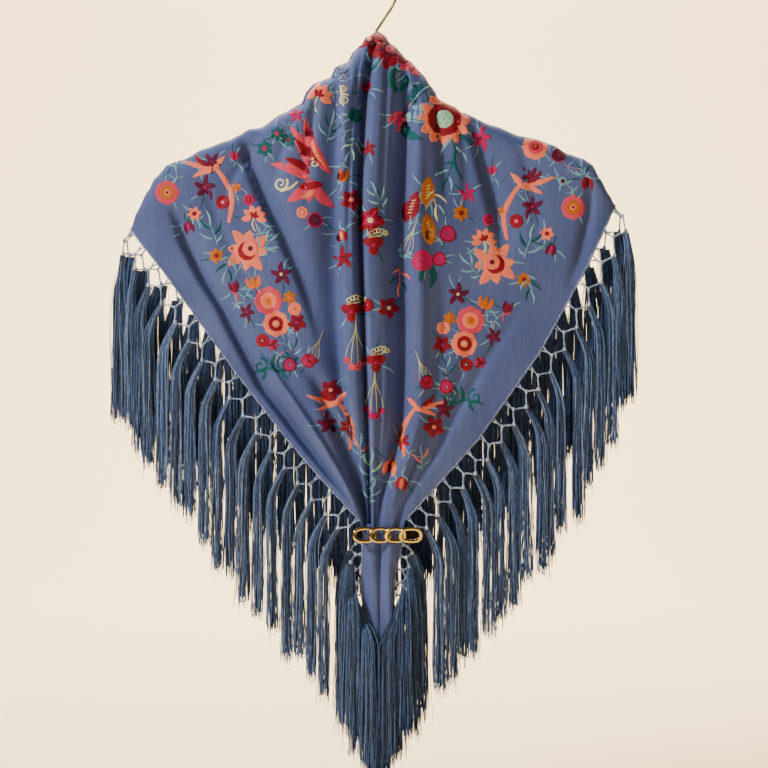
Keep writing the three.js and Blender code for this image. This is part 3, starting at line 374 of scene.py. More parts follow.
def cloth_stretch(side, hand):
    """A grid of points from the top outline (first row) to the hem (last), and from the middle
    (first column) to the side point. Heights run evenly down each column below the turn."""
    share = np.linspace(0, 1, COLUMNS + 1) ** COLUMN_POWER
    start = table_curve(OPENING, 1, NECK_Z)
    x_run = np.linspace(start, HEMS[side, hand][-1, 0], 400)
    top = along(np.stack([x_run, top_z(x_run)], -1), share)
    hem = HEMS[side, hand]
    if side == "front":
        under = UNDER_CLIP[hand]
        foot = np.array([OPENING[-1][1], hem[0, 1]])
        bottom = along(hem, np.clip((share - under) / (1 - under), 0, 1))
        inner = foot + (hem[0] - foot) * np.clip(share / under, 0, 1)[:, None]
        bottom = np.where((share < under)[:, None], inner, bottom)
    else:
        foot = hem[0]
        bottom = along(hem, share)
    height = np.maximum(top[:, 1] - bottom[:, 1], 0.01)
    turn = turn_height(top[:, 0], height) / height
    over = 1 - np.cos(np.linspace(0, np.pi / 2, TURN_ROWS + 1)[:-1])
    below = np.linspace(0, 1, ROWS_BELOW[side] + 1)
    t = np.vstack([over[:, None] * turn, turn + (1 - turn) * below[:, None]])
    z = top[:, 1] + (bottom[:, 1] - top[:, 1]) * t
    x = top[:, 0] + (bottom[:, 0] - top[:, 0]) * t
    if side == "front":
        line = table_curve(OPENING, 1, z)
        x = x + (line - (start + (foot[0] - start) * t)) * (1 - share) ** 3
    y = stand_off(x, z, side)
    y[0] = 0
    return np.stack([x, -y if side == "front" else y, z], -1)


def whole_cloth():
    """Each half runs from the front hem up over the shoulder and down to the back hem; the two
    halves meet in the middle."""
    halves = {}
    for hand in ("left", "right"):
        front = cloth_stretch("front", hand)[::-1]
        halves[hand] = np.vstack([front, cloth_stretch("back", hand)[1:]])
    return np.hstack([halves["left"][:, :0:-1], halves["right"]])


def plug(tree, made, inputs):
    """Gives each named socket of a node its value, or a link from another node's output."""
    for key, value in inputs.items():
        if isinstance(value, bpy.types.NodeSocket):
            tree.links.new(value, made.inputs[key])
        else:
            made.inputs[key].default_value = value


def node(tree, kind, inputs, output=0, stops=(), **settings):
    """Adds a shader node with its inputs and settings, and gives one of its outputs. stops are
    a colour ramp's own (place, hex colour) pairs."""
    made = tree.nodes.new("ShaderNode" + kind)
    for key, value in settings.items():
        setattr(made, key, value)
    while stops and len(made.color_ramp.elements) < len(stops):
        made.color_ramp.elements.new(0.5)
    for k, (place, colour) in enumerate(stops):
        made.color_ramp.elements[k].position = place
        made.color_ramp.elements[k].color = linear(colour)
    plug(tree, made, inputs)
    return made.outputs[output]


def crepe_material():
    """Crepe: matt, with a fine pebbled grain from its twisted threads, a little sheen at grazing
    angles, and slubs that run down the cloth."""
    made, tree, shader = new_material(
        "rayon_crepe",
        {"Roughness": 0.76, "Sheen Weight": 0.14, "Sheen Roughness": 0.45,
         "Sheen Tint": linear("#aeb6e0"), "Specular IOR Level": 0.25},
    )  # fmt: skip
    place = node(tree, "TexCoord", {}, "Object")
    down = node(tree, "Mapping", {"Vector": place, "Scale": (1, 1, 0.08)})
    # grain every 0.7 mm, drawn at 1.1 mm so that it shows; slubs 2 mm wide and 25 mm long
    grain = node(tree, "TexNoise", {"Vector": place, "Scale": 900, "Detail": 3})
    slubs = node(tree, "TexNoise", {"Vector": down, "Scale": 480, "Detail": 2})
    # and broad paler patches, a hand's breadth across
    broad = node(tree, "TexNoise", {"Vector": place, "Scale": 9, "Detail": 2})
    faint = node(tree, "Math", {0: slubs, 1: 0.45}, operation="MULTIPLY")
    summed = node(tree, "Math", {0: faint, 1: broad}, operation="ADD")
    shades = [(0.45, "#404d80"), (0.75, "#4a588b"), (1.0, "#566699")]
    colour = node(tree, "ValToRGB", {"Fac": summed}, stops=shades)
    height = node(tree, "Math", {0: grain, 1: slubs}, operation="ADD")
    bump = node(tree, "Bump", {"Height": height, "Strength": 0.35, "Distance": 0.0004})
    plug(tree, shader, {"Base Color": colour, "Normal": bump})
    return made


def give_plies(piece):
    """Thickens a sheet of cloth inwards, to its two plies."""
    wall = piece.modifiers.new("two_plies", "SOLIDIFY")
    wall.thickness = CLOTH_THICKNESS * MM
    wall.offset = -1


crepe = crepe_material()
points = whole_cloth()
cloth = make_piece(
    "shawl_cloth", crepe, points.reshape(-1, 3), grid_faces(*points.shape[:2])
)
edit = bmesh.new()
edit.from_mesh(cloth.data)
bmesh.ops.remove_doubles(edit, verts=edit.verts, dist=0.02 * MM)
edit.to_mesh(cloth.data)
edit.free()
give_plies(cloth)
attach(cloth, "root")
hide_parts("back", "front_left", "front_right")

# ---- The fringe: macrame net of silky rayon cord, looped into the rolled hem in pairs, knotted
# once where a pair meets and once more at the head of each tassel, whose threads hang loose.

HEM_ROLL = 1.1  # radius of the hem's rolled edge
NET_CORD = 0.72  # radius of a knotted cord
PAIR_APART = 1.9  # from the middle of a pair to each of its cords, at the hem
KNOT_OUT = 10.5  # first row of knots, out from the edge
HEAD_OUT = 18  # tassel heads, out from the edge
KNOT = (1.6, 1.6, 1.9)  # half-sizes
HEAD = (2.0, 2.0, 2.6)
NET_SAG = 3  # how far the net sinks under its tassels
TASSEL = 150  # from head to tip
TASSEL_HALF_WIDTH = (5.2, 6.8)  # least and most
TASSEL_SWING = 34  # length in which a tassel swings out before it hangs straight
STRANDS = 9  # in which a tassel's threads cling together
STRAND = 1.05  # radius
THREADS = 60  # loose threads drawn for each tassel, each for three or four real ones
THREAD = 0.32  # radius that they are drawn at, twice the real one so that they show
CELLS = {"front": 17, "back": 15}  # tassels along each edge
LOWEST = {"front": -545, "back": -470}  # where the fringed edges start
FULL = {"front": 1, "back": 2.3}  # tassels behind are this many times as wide
DYE_AND_PAINTED_SHADE = {"front": 0.9, "back": 0.5}  # and darker, in painted shade, for they lie in the shadow of the fronts
SHADES = ["#172a4a", "#283f69", "#3d588b", "#5675a5", "#768fbc", "#a0b3d3", "#c6cfdf"]
NET_SHADES = (3.4, 5.6)  # places in SHADES between which each cord's colour lies
KNOT_SHADES = (4, 5.8)
HEAD_SHADES = (3.6, 5.8)
STRAND_SHADES = np.array([0, 3.2])
THREAD_SHADES = np.array([0.4, 5.4])
rng = np.random.default_rng(5449)


def tubes(paths, radii, sides):
    """Round rods along many paths at once (rod, point, xyz): rings of points square to each
    path, laid out from the Y axis so that they don't twist, and a flat face at either end. Also
    gives each point's place round its rod, as a share, and along it, in centimetres."""
    count, n = paths.shape[:2]
    forward = np.gradient(paths, axis=1)
    forward = forward / np.linalg.norm(forward, axis=-1, keepdims=True)
    across = np.cross(np.array([0.06, 1, 0.02]), forward)
    across = across / np.linalg.norm(across, axis=-1, keepdims=True)
    up = np.cross(forward, across)
    a = 2 * np.pi * np.arange(sides) / sides
    radii = np.broadcast_to(radii, (count, n))[..., None, None]
    ring = across[:, :, None] * np.cos(a)[:, None] + up[:, :, None] * np.sin(a)[:, None]
    points = (paths[:, :, None] + radii * ring).reshape(-1, 3)
    one = grid_faces(n, sides, closed=True)
    faces = (one + (np.arange(count) * n * sides)[:, None, None]).reshape(-1, 4).tolist()
    first = (np.arange(count) * n * sides)[:, None] + np.arange(sides)
    last = first[:, ::-1] + (n - 1) * sides
    faces += first.tolist() + last.tolist()
    step = np.linalg.norm(np.diff(paths, axis=1), axis=-1)
    run = np.concatenate([np.zeros((count, 1)), np.cumsum(step, axis=1)], axis=1)
    around = np.broadcast_to(np.arange(sides) / sides, (count, n, sides))
    uv = np.stack([around, np.broadcast_to(run[..., None] / 10, around.shape)], -1)
    return points, faces, uv.reshape(-1, 2)


def lumps(places, size, sides=7, rings=6):
    """Knots: squat balls at many places, each turned and dented a little by its own cords."""
    a = 2 * np.pi * np.arange(sides) / sides
    b = np.linspace(0.12, np.pi - 0.12, rings)
    turn = rng.uniform(0, 6, (len(places), 1, 1))
    swell = 1 + 0.14 * np.sin(2 * a[None, None] + turn) * np.sin(b)[None, :, None]
    x = np.sin(b)[None, :, None] * np.cos(a) * swell
    y = np.sin(b)[None, :, None] * np.sin(a) * swell
    z = np.broadcast_to(np.cos(b)[None, :, None], x.shape)
    ball = np.stack([x * size[0], y * size[1], z * size[2]], -1)
    points = (places[:, None, None] + ball).reshape(-1, 3)
    one = grid_faces(rings, sides, closed=True)[:, ::-1]
    starts = np.arange(len(places)) * rings * sides
    faces = (one + starts[:, None, None]).reshape(-1, 4).tolist()
    first = starts[:, None] + np.arange(sides)
    faces += first.tolist() + (first[:, ::-1] + (rings - 1) * sides).tolist()
    uv = np.zeros((len(points), 2))
    uv[:, 0] = np.tile(np.arange(sides) / sides, len(places) * rings)
    uv[:, 1] = np.tile(np.repeat(np.arange(rings) * 0.08, sides), len(places))
    return points, faces, uv


def gather(parts):
    """Joins (points, faces, uv, tint) parts into one mesh's arrays."""
    points, faces, uvs, tints, start = [], [], [], [], 0
    for part_points, part_faces, part_uv, tint in parts:
        points.append(part_points)
        faces += [[k + start for k in face] for face in part_faces]
        uvs.append(part_uv)
        tints.append(np.broadcast_to(tint, (len(part_points), 4)))
        start += len(part_points)
    return np.vstack(points), faces, np.vstack(uvs), np.vstack(tints)


def shade(count, points_each, low, high):
    """Colours for many rods: each a random mix of two neighbouring dye shades."""
    pick = rng.uniform(low, high, count)
    table = np.array([linear(colour) for colour in SHADES])
    k = np.clip(pick.astype(int), 0, len(SHADES) - 2)
    part = (pick - k)[:, None]
    mixed = table[k] * (1 - part) + table[k + 1] * part
    return np.repeat(mixed, points_each, axis=0)


def silk_material():
    """Rayon floss: smooth and lustrous along its length, so that it keeps a long soft highlight,
    with fine twisted plies and painted glints along each thread. The dye varies from strand to
    strand, by the piece's own tint."""
    made, tree, shader = new_material(
        "rayon_floss",
        {"Roughness": 0.46, "Specular IOR Level": 0.4, "Sheen Weight": 0.2,
         "Sheen Roughness": 0.4, "Sheen Tint": linear("#b9c6e2")},
    )  # fmt: skip
    dye = node(tree, "VertexColor", {}, layer_name="tint")
    thread = node(tree, "UVMap", {}, uv_map="thread")
    # plies 0.6 mm apart, wound steeply up the cord
    twist = node(tree, "Mapping", {"Vector": thread, "Rotation": (0, 0, 0.5)})
    plies = node(tree, "TexWave", {"Vector": twist, "Scale": 2.6, "Distortion": 1.2}, "Fac")
    # faded and dark stretches, 17 mm long
    place = node(tree, "TexCoord", {}, "Object")
    uneven = node(tree, "TexNoise", {"Vector": place, "Scale": 60, "Detail": 2})
    faded = {"Color1": (0.72, 0.74, 0.8, 1), "Color2": (1.15, 1.14, 1.1, 1)}
    patchy = node(tree, "MixRGB", {"Fac": uneven, **faded})
    # painted glints: the colour runs from 0.6 to 1.45 times its own along each thread, every 5 mm or
    # so, as where a thread lies flat and turns edge-on by turns
    down = node(tree, "Mapping", {"Vector": place, "Scale": (1, 1, 0.3)})
    painted_glint_noise = node(tree, "TexNoise", {"Vector": down, "Scale": 620, "Detail": 2})
    bounds = {"From Min": 0.36, "From Max": 0.64, "To Min": 0.6, "To Max": 1.45}
    painted_glints = node(tree, "MapRange", {"Value": painted_glint_noise, **bounds})
    # the faded stretches times the painted glints
    times = {"Fac": 1.0, "Color1": patchy, "Color2": painted_glints}
    patchy = node(tree, "MixRGB", times, blend_type="MULTIPLY")
    times = {"Fac": 1.0, "Color1": dye, "Color2": patchy}
    dyed = node(tree, "MixRGB", times, blend_type="MULTIPLY")
    bump = node(tree, "Bump", {"Height": plies, "Strength": 0.5, "Distance": 0.0003})
    plug(tree, shader, {"Base Color": dyed, "Normal": bump})
    return made


def net_and_tassels(edge, away, cells, hang, depth_in=None, scale=1, by_x=True, full=1, dye=1):
    """A run of fringe on an edge line. Place (u, v) of the net is a share of the line counted in
    cells, and a distance out from it. hang gives a tassel's swing (x, y) from its number, its
    head and the side it is on. full widens the tassels, and a dye below 1 keeps their threads
    to the darker shades, which for the back runs is painted shade."""
    measure = edge[:, 0] if by_x else -edge[:, 2]
    order = np.argsort(measure)
    ends = measure[[0, -1]]
    parts = []

    def add(made, count, shades):
        """Adds a number of like cords or knots, each in its own dye shade."""
        parts.append((*made, shade(count, len(made[0]) // count, *shades)))

    def laid(u, v):
        """Points of the net: out from the line, square to it, and sunk in proportion to v."""
        u, v = np.broadcast_arrays(np.asarray(u, float), np.asarray(v, float))
        at = ends[0] + (ends[1] - ends[0]) * np.clip(u / cells, 0, 1)
        near = (ends[1] - ends[0]) * 0.004
        here, ahead, behind = (
            np.stack([np.interp(q, measure[order], edge[order, k]) for k in range(3)], -1)
            for q in (at, at + near, at - near)
        )
        run = ahead - behind
        out = np.stack([np.abs(run[..., 2]) * away, 0 * at, -np.abs(run[..., 0])], -1)
        out /= np.linalg.norm(out, axis=-1, keepdims=True)
        share = np.clip(v, 0, None) / HEAD_OUT
        sink = np.zeros(here.shape)
        sink[..., 2] = -NET_SAG * scale * share
        if depth_in is not None:
            sink[..., 1] = depth_in(u) * share
        return here + out * v[..., None] + sink

    pitch = np.hypot(*(edge[-1] - edge[0])[[0, 2]]) / cells
    knot_out, head_out = KNOT_OUT * scale, HEAD_OUT * scale
    stems = np.arange(cells + 1.0)
    stems[0], stems[-1] = 0.16, cells - 0.16  # the end knots lie inside the run
    middles = (stems[:-1] + stems[1:]) / 2
    knot_rise = rng.normal(0, 0.5, len(stems))
    jitter = rng.normal(0, 0.025, len(stems))

    # the hem's own rolled edge, where the cords are looped in
    u = np.linspace(0, cells, cells * 6 + 1)
    roll = tubes(laid(u, 0.2 * np.sin(u * 12))[None], HEM_ROLL * (1 + 0.1 * np.sin(9 * u)), 7)
    parts.append((*roll, linear("#6b78a8")))

    # two cords a knot, from the hem to the first row of knots
    t = np.linspace(0, 1, 6)
    root = PAIR_APART / pitch
    out = -0.6 + (knot_out + 0.6) * t
    arms = np.vstack([
        laid(stems[:, None] + side * root * (1 - ease(t * 1.5)) + jitter[:, None] * t, out)
        for side in (-1, 1)
    ])  # fmt: skip
    add(tubes(arms, NET_CORD * (0.9 + 0.25 * t), 7), len(arms), NET_SHADES)

    # from each knot to the tassel heads on either side, slack between them
    t = np.linspace(0, 1, 7)
    out = knot_out + (head_out - knot_out) * t + np.sin(np.pi * t) * 0.9
    for near, shift in ((stems[:-1], jitter[:-1]), (stems[1:], jitter[1:])):
        start = (near + shift)[:, None]
        u = start + (middles[:, None] - start) * (t + 0.25 * np.sin(np.pi * t) * (1 - t))
        paths = laid(u, np.broadcast_to(out, u.shape))
        add(tubes(paths, NET_CORD * 1.1, 7), len(paths), NET_SHADES)
    knots = laid(stems + jitter, knot_out)
    knots[:, 2] += knot_rise
    add(lumps(knots, KNOT), len(knots), KNOT_SHADES)
    heads = laid(middles, head_out)
    add(lumps(heads, HEAD), len(heads), HEAD_SHADES)

    # tassels: strands that cling, with loose threads round them
    swing = np.array([hang(k, head, away) for k, head in enumerate(heads)], dtype=float)
    lengths = TASSEL * (1 + 0.03 * np.sin(2.4 * np.arange(cells)) + rng.normal(0, 0.015, cells))
    wide = rng.uniform(*TASSEL_HALF_WIDTH, cells) * full

    def hanging(per_tassel, n, spread, wave, uneven):
        """Paths of threads: each swings out over TASSEL_SWING and then falls straight, spreads
        from the head to its own place in the tassel, and waves more towards the tip."""
        t = np.linspace(0, 1, n) ** 1.45
        count = cells * per_tassel
        tassel = np.repeat(np.arange(cells), per_tassel)
        own = lengths[tassel] * (1 + rng.normal(0, uneven, count))
        fall = own[:, None] * t
        lean = np.sin(np.pi / 2 * np.minimum(fall / TASSEL_SWING, 1))
        group = np.tile(np.arange(per_tassel), cells) % STRANDS
        angle = 2 * np.pi * group / STRANDS + np.repeat(rng.uniform(0, 6, cells), per_tassel)
        place = np.stack([np.cos(angle), np.sin(angle)], -1) * 0.62
        place += rng.normal(0, spread, (count, 2))
        opened = 0.42 + 0.4 * ease(fall / 45) + 0.22 * t
        phase = rng.uniform(0, 6.3, (count, 2))
        rate = rng.uniform(16, 30, (count, 1))
        stir = wave * (0.3 + t) * np.minimum(1, fall / 20)
        x = place[:, :1] * wide[tassel][:, None] * opened
        x = x + stir * np.sin(fall / rate + phase[:, :1])
        y = place[:, 1:] * 2.5 * opened + 0.6 * stir * np.sin(fall / rate + phase[:, 1:])
        drift = np.repeat(rng.normal(0, 1.2, cells), per_tassel)[:, None] * t
        base = heads[tassel][:, None]
        path_x = base[..., 0] + swing[tassel, 0][:, None] * lean + x + drift
        path_y = base[..., 1] + swing[tassel, 1][:, None] * lean + y
        return np.stack([path_x, path_y, base[..., 2] - 1.5 - fall], -1)

    t = np.linspace(0, 1, 11)
    paths = hanging(round(STRANDS * full), len(t), 0.16, 0.7, 0.015)
    rods = tubes(paths, STRAND - 0.1 * t - 0.65 * ease((t - 0.86) * 7), 6)
    add(rods, len(paths), STRAND_SHADES * dye)
    paths = hanging(THREADS, 12, 0.3, 1.1, 0.035)
    add(tubes(paths, THREAD, 3), len(paths), THREAD_SHADES * dye)
    return gather(parts)


floss = silk_material()


def add_fringe(name, cad_node, made):
    """A run of fringe as one piece of the shawl, in place of its solid."""
    piece = make_piece(name, floss, *made)
    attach(piece, "root")
    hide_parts(cad_node)
    return piece


def hem_line(side, hand):
    """The hem's middle line in space, from beside the clip, or the back's corner, out to the
    side point."""
    rows = along(HEMS[side, hand], np.linspace(0, 1, 240))
    x, z = rows[rows[:, 1] >= LOWEST[side]].T
    y = stand_off(x, z, side) - CLOTH_THICKNESS / 2
    return np.stack([x, -y if side == "front" else y, z], -1)


def front_hang(k, head, away):
    """Front tassels swing out, the last few towards the side point less and less."""
    lean = 12 * min(1, 0.25 + 0.2 * (CELLS["front"] - 1 - k))
    return away * (lean + rng.normal(0, 1.2)), rng.normal(0, 0.6)


def back_hang(k, head, away):
    """Back tassels swing out, the first few beside the corner less, or a little inwards."""
    return away * (6.2 * min(1, k / 4) - 2 + rng.normal(0, 1)), rng.normal(0, 0.5)


for hand, away in (("left", -1), ("right", 1)):
    for side, hang in (("front", front_hang), ("back", back_hang)):
        # the back runs' lower dye is painted shade, for they hang in the shadow of the fronts
        made = net_and_tassels(
            hem_line(side, hand), away, CELLS[side], hang, full=FULL[side], dye=DYE_AND_PAINTED_SHADE[side]
        )
        run = side + "_" + hand
        add_fringe("fringe_threads_" + run, "fringe_" + run, made)

# ---- The two points of the shawl, below the clip: each is the cloth rolled lengthwise into a
# strip that is open behind, with its own short run of fringe down the outer edge.

ENDS = {  # z, x, width, y of the middle, how far it bulges
    "left": [(-548, -5, 17, -13, 4.5), (-580, -4, 17, -13, 5), (-605, -4, 17, -13, 5),
             (-630, -3.5, 15, -14, 5), (-652, -1.5, 13, -15, 4.5), (-672, 0.5, 7, -16, 3)],
    "right": [(-548, 12.5, 20, -15, 5), (-576, 12.6, 16, -17, 6), (-597, 10.2, 12, -17, 6),
              (-617, 10, 12, -17, 5.5), (-640, 10, 13, -17, 5.5), (-664, 8, 11, -17, 4.5),
              (-684, 5.5, 6, -17, 3)],
}  # fmt: skip
END_WRAP = 1.75  # how far the strip curls round, in radians each way
END_PLEAT = 0.2  # how deep its pleats are, as a share of its half-width
END_FRINGED = (-642, -564)  # heights between which its outer edge carries fringe
END_NET = 0.62  # size of its net, as a share of the shawl's
END_REACH = {-1: (-32, -28, -22, -15, -8, -1), 1: (40, 33, 25, 18, 11, 5)}  # x of each tassel
END_DEPTH = (-12, -22, -27, -21, -28, -24)  # y of each tassel, from the outermost inwards


def end_strip(hand):
    """Rings of an open roll down the table's stations: an arc of END_WRAP each way, rippled by
    three pleats that die out towards the point."""
    rows = ENDS[hand]
    z = np.linspace(rows[0][0], rows[-1][0], 70)[:, None]
    x, width, y, bulge = (table_curve(rows, k, z) for k in (1, 2, 3, 4))
    a = np.linspace(-END_WRAP, END_WRAP, 41)[None]
    pleat = 1 + END_PLEAT * np.cos(3 * a + z / 46) * ease((z - rows[-1][0]) / 40)
    return np.stack(
        [x + width / 2 * np.sin(a) * pleat, y - bulge * np.cos(a) * pleat, z + 0 * a], -1
    )


def end_hang(k, head, away):
    """A tassel of an end swings to its own place round the strip."""
    return END_REACH[away][k] - head[0], END_DEPTH[k] - head[1]


def end_bow(u):
    """How far the net of an end bows in or out, by the cells along its edge."""
    return -1.5 + 4.5 * np.cos(np.pi * (u - 0.5))


for hand, away in (("left", -1), ("right", 1)):
    strip = end_strip(hand)
    faces = grid_faces(*strip.shape[:2])[:, ::-1]
    piece = make_piece("shawl_end_" + hand, crepe, strip.reshape(-1, 3), faces)
    give_plies(piece)
    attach(piece, "root")
    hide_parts("tail_" + hand)
    edge = strip[:, 0 if hand == "left" else -1]
    low, high = END_FRINGED
    edge = edge[(edge[:, 2] < high) & (edge[:, 2] > low)] + np.array([away * 0.6, 0.6, 0])
    made = net_and_tassels(
        edge, away, len(END_DEPTH), end_hang, end_bow, END_NET, by_x=False, full=1.5, dye=0.72
    )
    add_fringe("fringe_threads_end_" + hand, "fringe_tail_" + hand, made)

# ---- The embroidery: flowers, leaves and sprigs in rayon floss, worked by hand in satin stitch
# through both plies. Each petal is a low crowned band of threads that lie across it. Most motifs
# of one front come again on the other, mirrored.

DYES = {
    "crimson": "#860720", "wine": "#5c0a36", "magenta": "#ae0f5c", "coral": "#f07a60",
    "pink": "#d23f5c", "amber": "#b4650e", "orange": "#dc6a1c", "teal": "#045358",
    "aqua": "#72a6bd", "mint": "#9ccfb8", "cream": "#dcd89e",
}  # fmt: skip
STITCH_RISE = 0.3  # how far a band of satin stitch stands off the cloth
STITCH_SUNK = 0.35  # how deep its edges go in
STITCH_LAYER = 0.22  # each layer worked over another stands higher by this


def band(line, half, dye, layer=0, closed=False):
    """A band of satin stitch: its middle line, half-width at each point, dye and layer."""
    line = np.asarray(line, dtype=float)
    return line, np.broadcast_to(half, len(line)).astype(float), dye, layer, closed


def leaf(base, tip, half, dye, bow=0.0, layer=0):
    """A leaf or petal: a bowed line from base to tip, whose half-width rises quickly and then
    runs out to a point."""
    t = np.linspace(0, 1, 9)[:, None]
    base, tip = np.array(base, float), np.array(tip, float)
    side = (tip - base)[::-1] * np.array([-1, 1])
    line = base + (tip - base) * t + side * bow * np.sin(np.pi * t)
    return band(line, half * (0.06 + 0.94 * np.sin(np.pi * t[:, 0] ** 0.85) ** 0.75), dye, layer)


def ray(angle, near, far, half, dye, bow=0.0, layer=0, centre=(0, 0)):
    """A petal from one radius to another at an angle in degrees, clockwise from the top."""
    way = np.array([np.sin(np.radians(angle)), np.cos(np.radians(angle))])
    centre = np.array(centre, float)
    return leaf(centre + way * near, centre + way * far, half, dye, bow, layer)


def ring(radius, half, dye, layer=0, scallops=0, depth=0.0, centre=(0, 0)):
    """A ring: a closed band whose radius swells and shrinks once for each scallop."""
    a = np.linspace(0, 2 * np.pi, 28, endpoint=False)
    r = radius * (1 + depth * np.cos(scallops * a))
    line = np.stack([r * np.sin(a), r * np.cos(a)], -1) + np.array(centre, float)
    return band(line, half, dye, layer, closed=True)


def spot(radius, dye, layer=0, centre=(0, 0)):
    """A filled round: a ring that is wide enough to close in the middle."""
    return ring(radius * 0.52, radius * 0.5, dye, layer, centre=centre)


def stem(points, half, dye, layer=0):
    """A line of stem stitch on a smooth curve through a few points, thinner at its ends."""
    rows = [(k, *p) for k, p in enumerate(points)]
    t = np.linspace(0, len(points) - 1, 6 * len(points))
    line = np.stack([table_curve(rows, 1, t), table_curve(rows, 2, t)], -1)
    return band(line, half * (0.5 + 0.5 * np.sin(np.pi * t / t[-1]) ** 0.5), dye, layer)


def curl(centre, radius, start, turns, half, dye):
    """A spiral that tightens to its middle."""
    t = np.linspace(0, 1, 18)
    a = np.radians(start) + 2 * np.pi * turns * t
    r = radius * (1 - 0.8 * t)
    line = np.stack([r * np.sin(a), r * np.cos(a)], -1) + np.array(centre, float)
    return band(line, half * (1 - 0.4 * t), dye)


# Each motif is drawn at a radius of 1, upright, from its own dyes.
def ring_flower(outer, inner, heart, core):
    """A ring of eight scallops, a plain ring in it, a heart and its core."""
    return [ring(0.74, 0.27, outer, 0, 8, 0.07), ring(0.43, 0.17, inner, 1),
            spot(0.3, heart, 2), spot(0.13, core, 3)]  # fmt: skip


def crown_flower(outer, inner, dark, core):
    """Twelve petals behind two rings, and a core with five seeds."""
    petals = [ray(30 * k, 0.55, 1.05, 0.24, outer, 0, 0) for k in range(12)]
    seeds = [spot(0.035, dark, 4, (0.2 * np.cos(1.26 * k), 0.2 * np.sin(1.26 * k)))
             for k in range(5)]  # fmt: skip
    return [*petals, ring(0.66, 0.16, outer, 1), ring(0.5, 0.19, inner, 2, 10, 0.05),
            spot(0.36, core, 3), *seeds]  # fmt: skip


def star(petal, core):
    """Five pointed petals of uneven length, over and under one another by turns."""
    reach = (1, 0.8, 1.05, 0.85, 0.92)
    return [*(ray(72 * k, 0, r, 0.24, petal, 0.08, k % 2) for k, r in enumerate(reach)),
            spot(0.14, core, 2)]  # fmt: skip


def great_star(petal, moon_dye, dark):
    """Eight rays, long and short by turns, round a disc with a crescent moon."""
    rays = [ray(45 * k, 0.1, 1.05 if k % 2 else 0.85, 0.27, petal, 0.04 * (-1) ** k)
            for k in range(8)]  # fmt: skip
    moon = [spot(0.42, moon_dye, 2, (-0.02, -0.02)), spot(0.34, petal, 3, (0.09, 0.08))]
    return [spot(0.5, petal, 1), *rays, *moon, spot(0.12, dark, 4, (0.1, 0.09))]


def blossom(petal, other, core):
    """Six broad petals in two dyes by turns, and a core."""
    return [*(ray(60 * k, 0.15, 0.95, 0.33, other if k % 2 else petal) for k in range(6)),
            spot(0.33, core, 1)]  # fmt: skip


def poppy(petal, dark, core):
    """Five overlapping rounds, a dark streak down each, and a ringed core."""
    rounds = [ray(72 * k + 30, 0.05, 1, 0.42, petal, 0.08, k % 2) for k in range(5)]
    streaks = [ray(72 * k + 30, 0.3, 0.8, 0.07, dark, 0, 2) for k in range(5)]
    return [*rounds, *streaks, ring(0.27, 0.1, dark, 2), spot(0.2, core, 3)]


def eyed_ring(outer, inner, eye):
    """A ring of seven scallops, filled, with an eye."""
    return [ring(0.68, 0.32, outer, 0, 7, 0.05), spot(0.42, inner, 1), spot(0.2, eye, 2)]


def disc(fill, rim):
    """A filled round in a thin rim."""
    return [ring(0.5, 0.46, fill, 0, 3, 0.05), ring(0.8, 0.1, rim, 1, 3, 0.05)]


def stitched_oval(fill, stitch):
    """A pointed oval crossed by five slanting bars."""
    bars = [stem([(-0.12, 0.2 * k - 0.06), (0.12, 0.2 * k + 0.08)], 0.035, stitch, 2)
            for k in (-2, -1, 0, 1, 2)]  # fmt: skip
    return [leaf((0, -1), (0, 1), 0.56, fill), *bars]


def bud(petal, inner, sepal):
    """Three petals that open from a stalk, with one sepal."""
    return [leaf((0, -0.2), (-0.3, 1), 0.26, petal, 0.12), leaf((0, -0.2), (0.34, 0.95), 0.24,
            petal, -0.12), leaf((0, -0.1), (0.02, 0.8), 0.2, inner, 0, 1),
            leaf((0, -0.25), (-0.42, 0.1), 0.12, sepal, 0.15, 1),
            stem([(0, -0.2), (0.06, -0.6), (-0.1, -1)], 0.08, sepal)]  # fmt: skip


def tulip(petal, inner, stalk):
    """Three petals that stand up from a stalk."""
    return [leaf((0, -0.4), (-0.6, 0.8), 0.3, petal, 0.18), leaf((0, -0.4), (0.6, 0.8), 0.3,
            petal, -0.18), leaf((0, -0.4), (0, 0.9), 0.28, inner, 0, 1),
            stem([(0, -0.35), (0.1, -1)], 0.1, stalk)]  # fmt: skip


def half_flower(petal, inner, stalk):
    """Six petals fanned over the upper half, three inner ones, and a stalk."""
    fan_out = [ray(a, 0.15, 0.95, 0.27, petal) for a in (-95, -52, -12, 30, 70, 104)]
    return [*fan_out, ray(-30, 0, 0.5, 0.16, inner, 0, 1), ray(20, 0, 0.5, 0.16, inner, 0, 1),
            ray(72, 0, 0.42, 0.14, inner, 0, 1),
            stem([(0, 0), (-0.12, -0.5), (0.1, -1)], 0.07, stalk)]  # fmt: skip


def comb_flower(petal, comb, heart):
    """Four petals under an arched crest of five small rings."""
    crest = [ring(0.15, 0.05, comb, 1, centre=(-0.15 + 0.24 * k, 0.78 + 0.22 * np.sin(0.7 * k)))
             for k in range(5)]  # fmt: skip
    return [ray(-60, 0, 0.8, 0.36, petal), ray(60, 0, 0.8, 0.36, petal, 0, 1), ray(180, 0, 0.75,
            0.4, petal), ray(0, -0.1, 0.7, 0.45, petal, 0, 1), *crest,
            stem([(-0.3, 0.5), (0.3, 0.62), (0.9, 0.86)], 0.05, comb, 2),
            spot(0.14, heart, 2)]  # fmt: skip


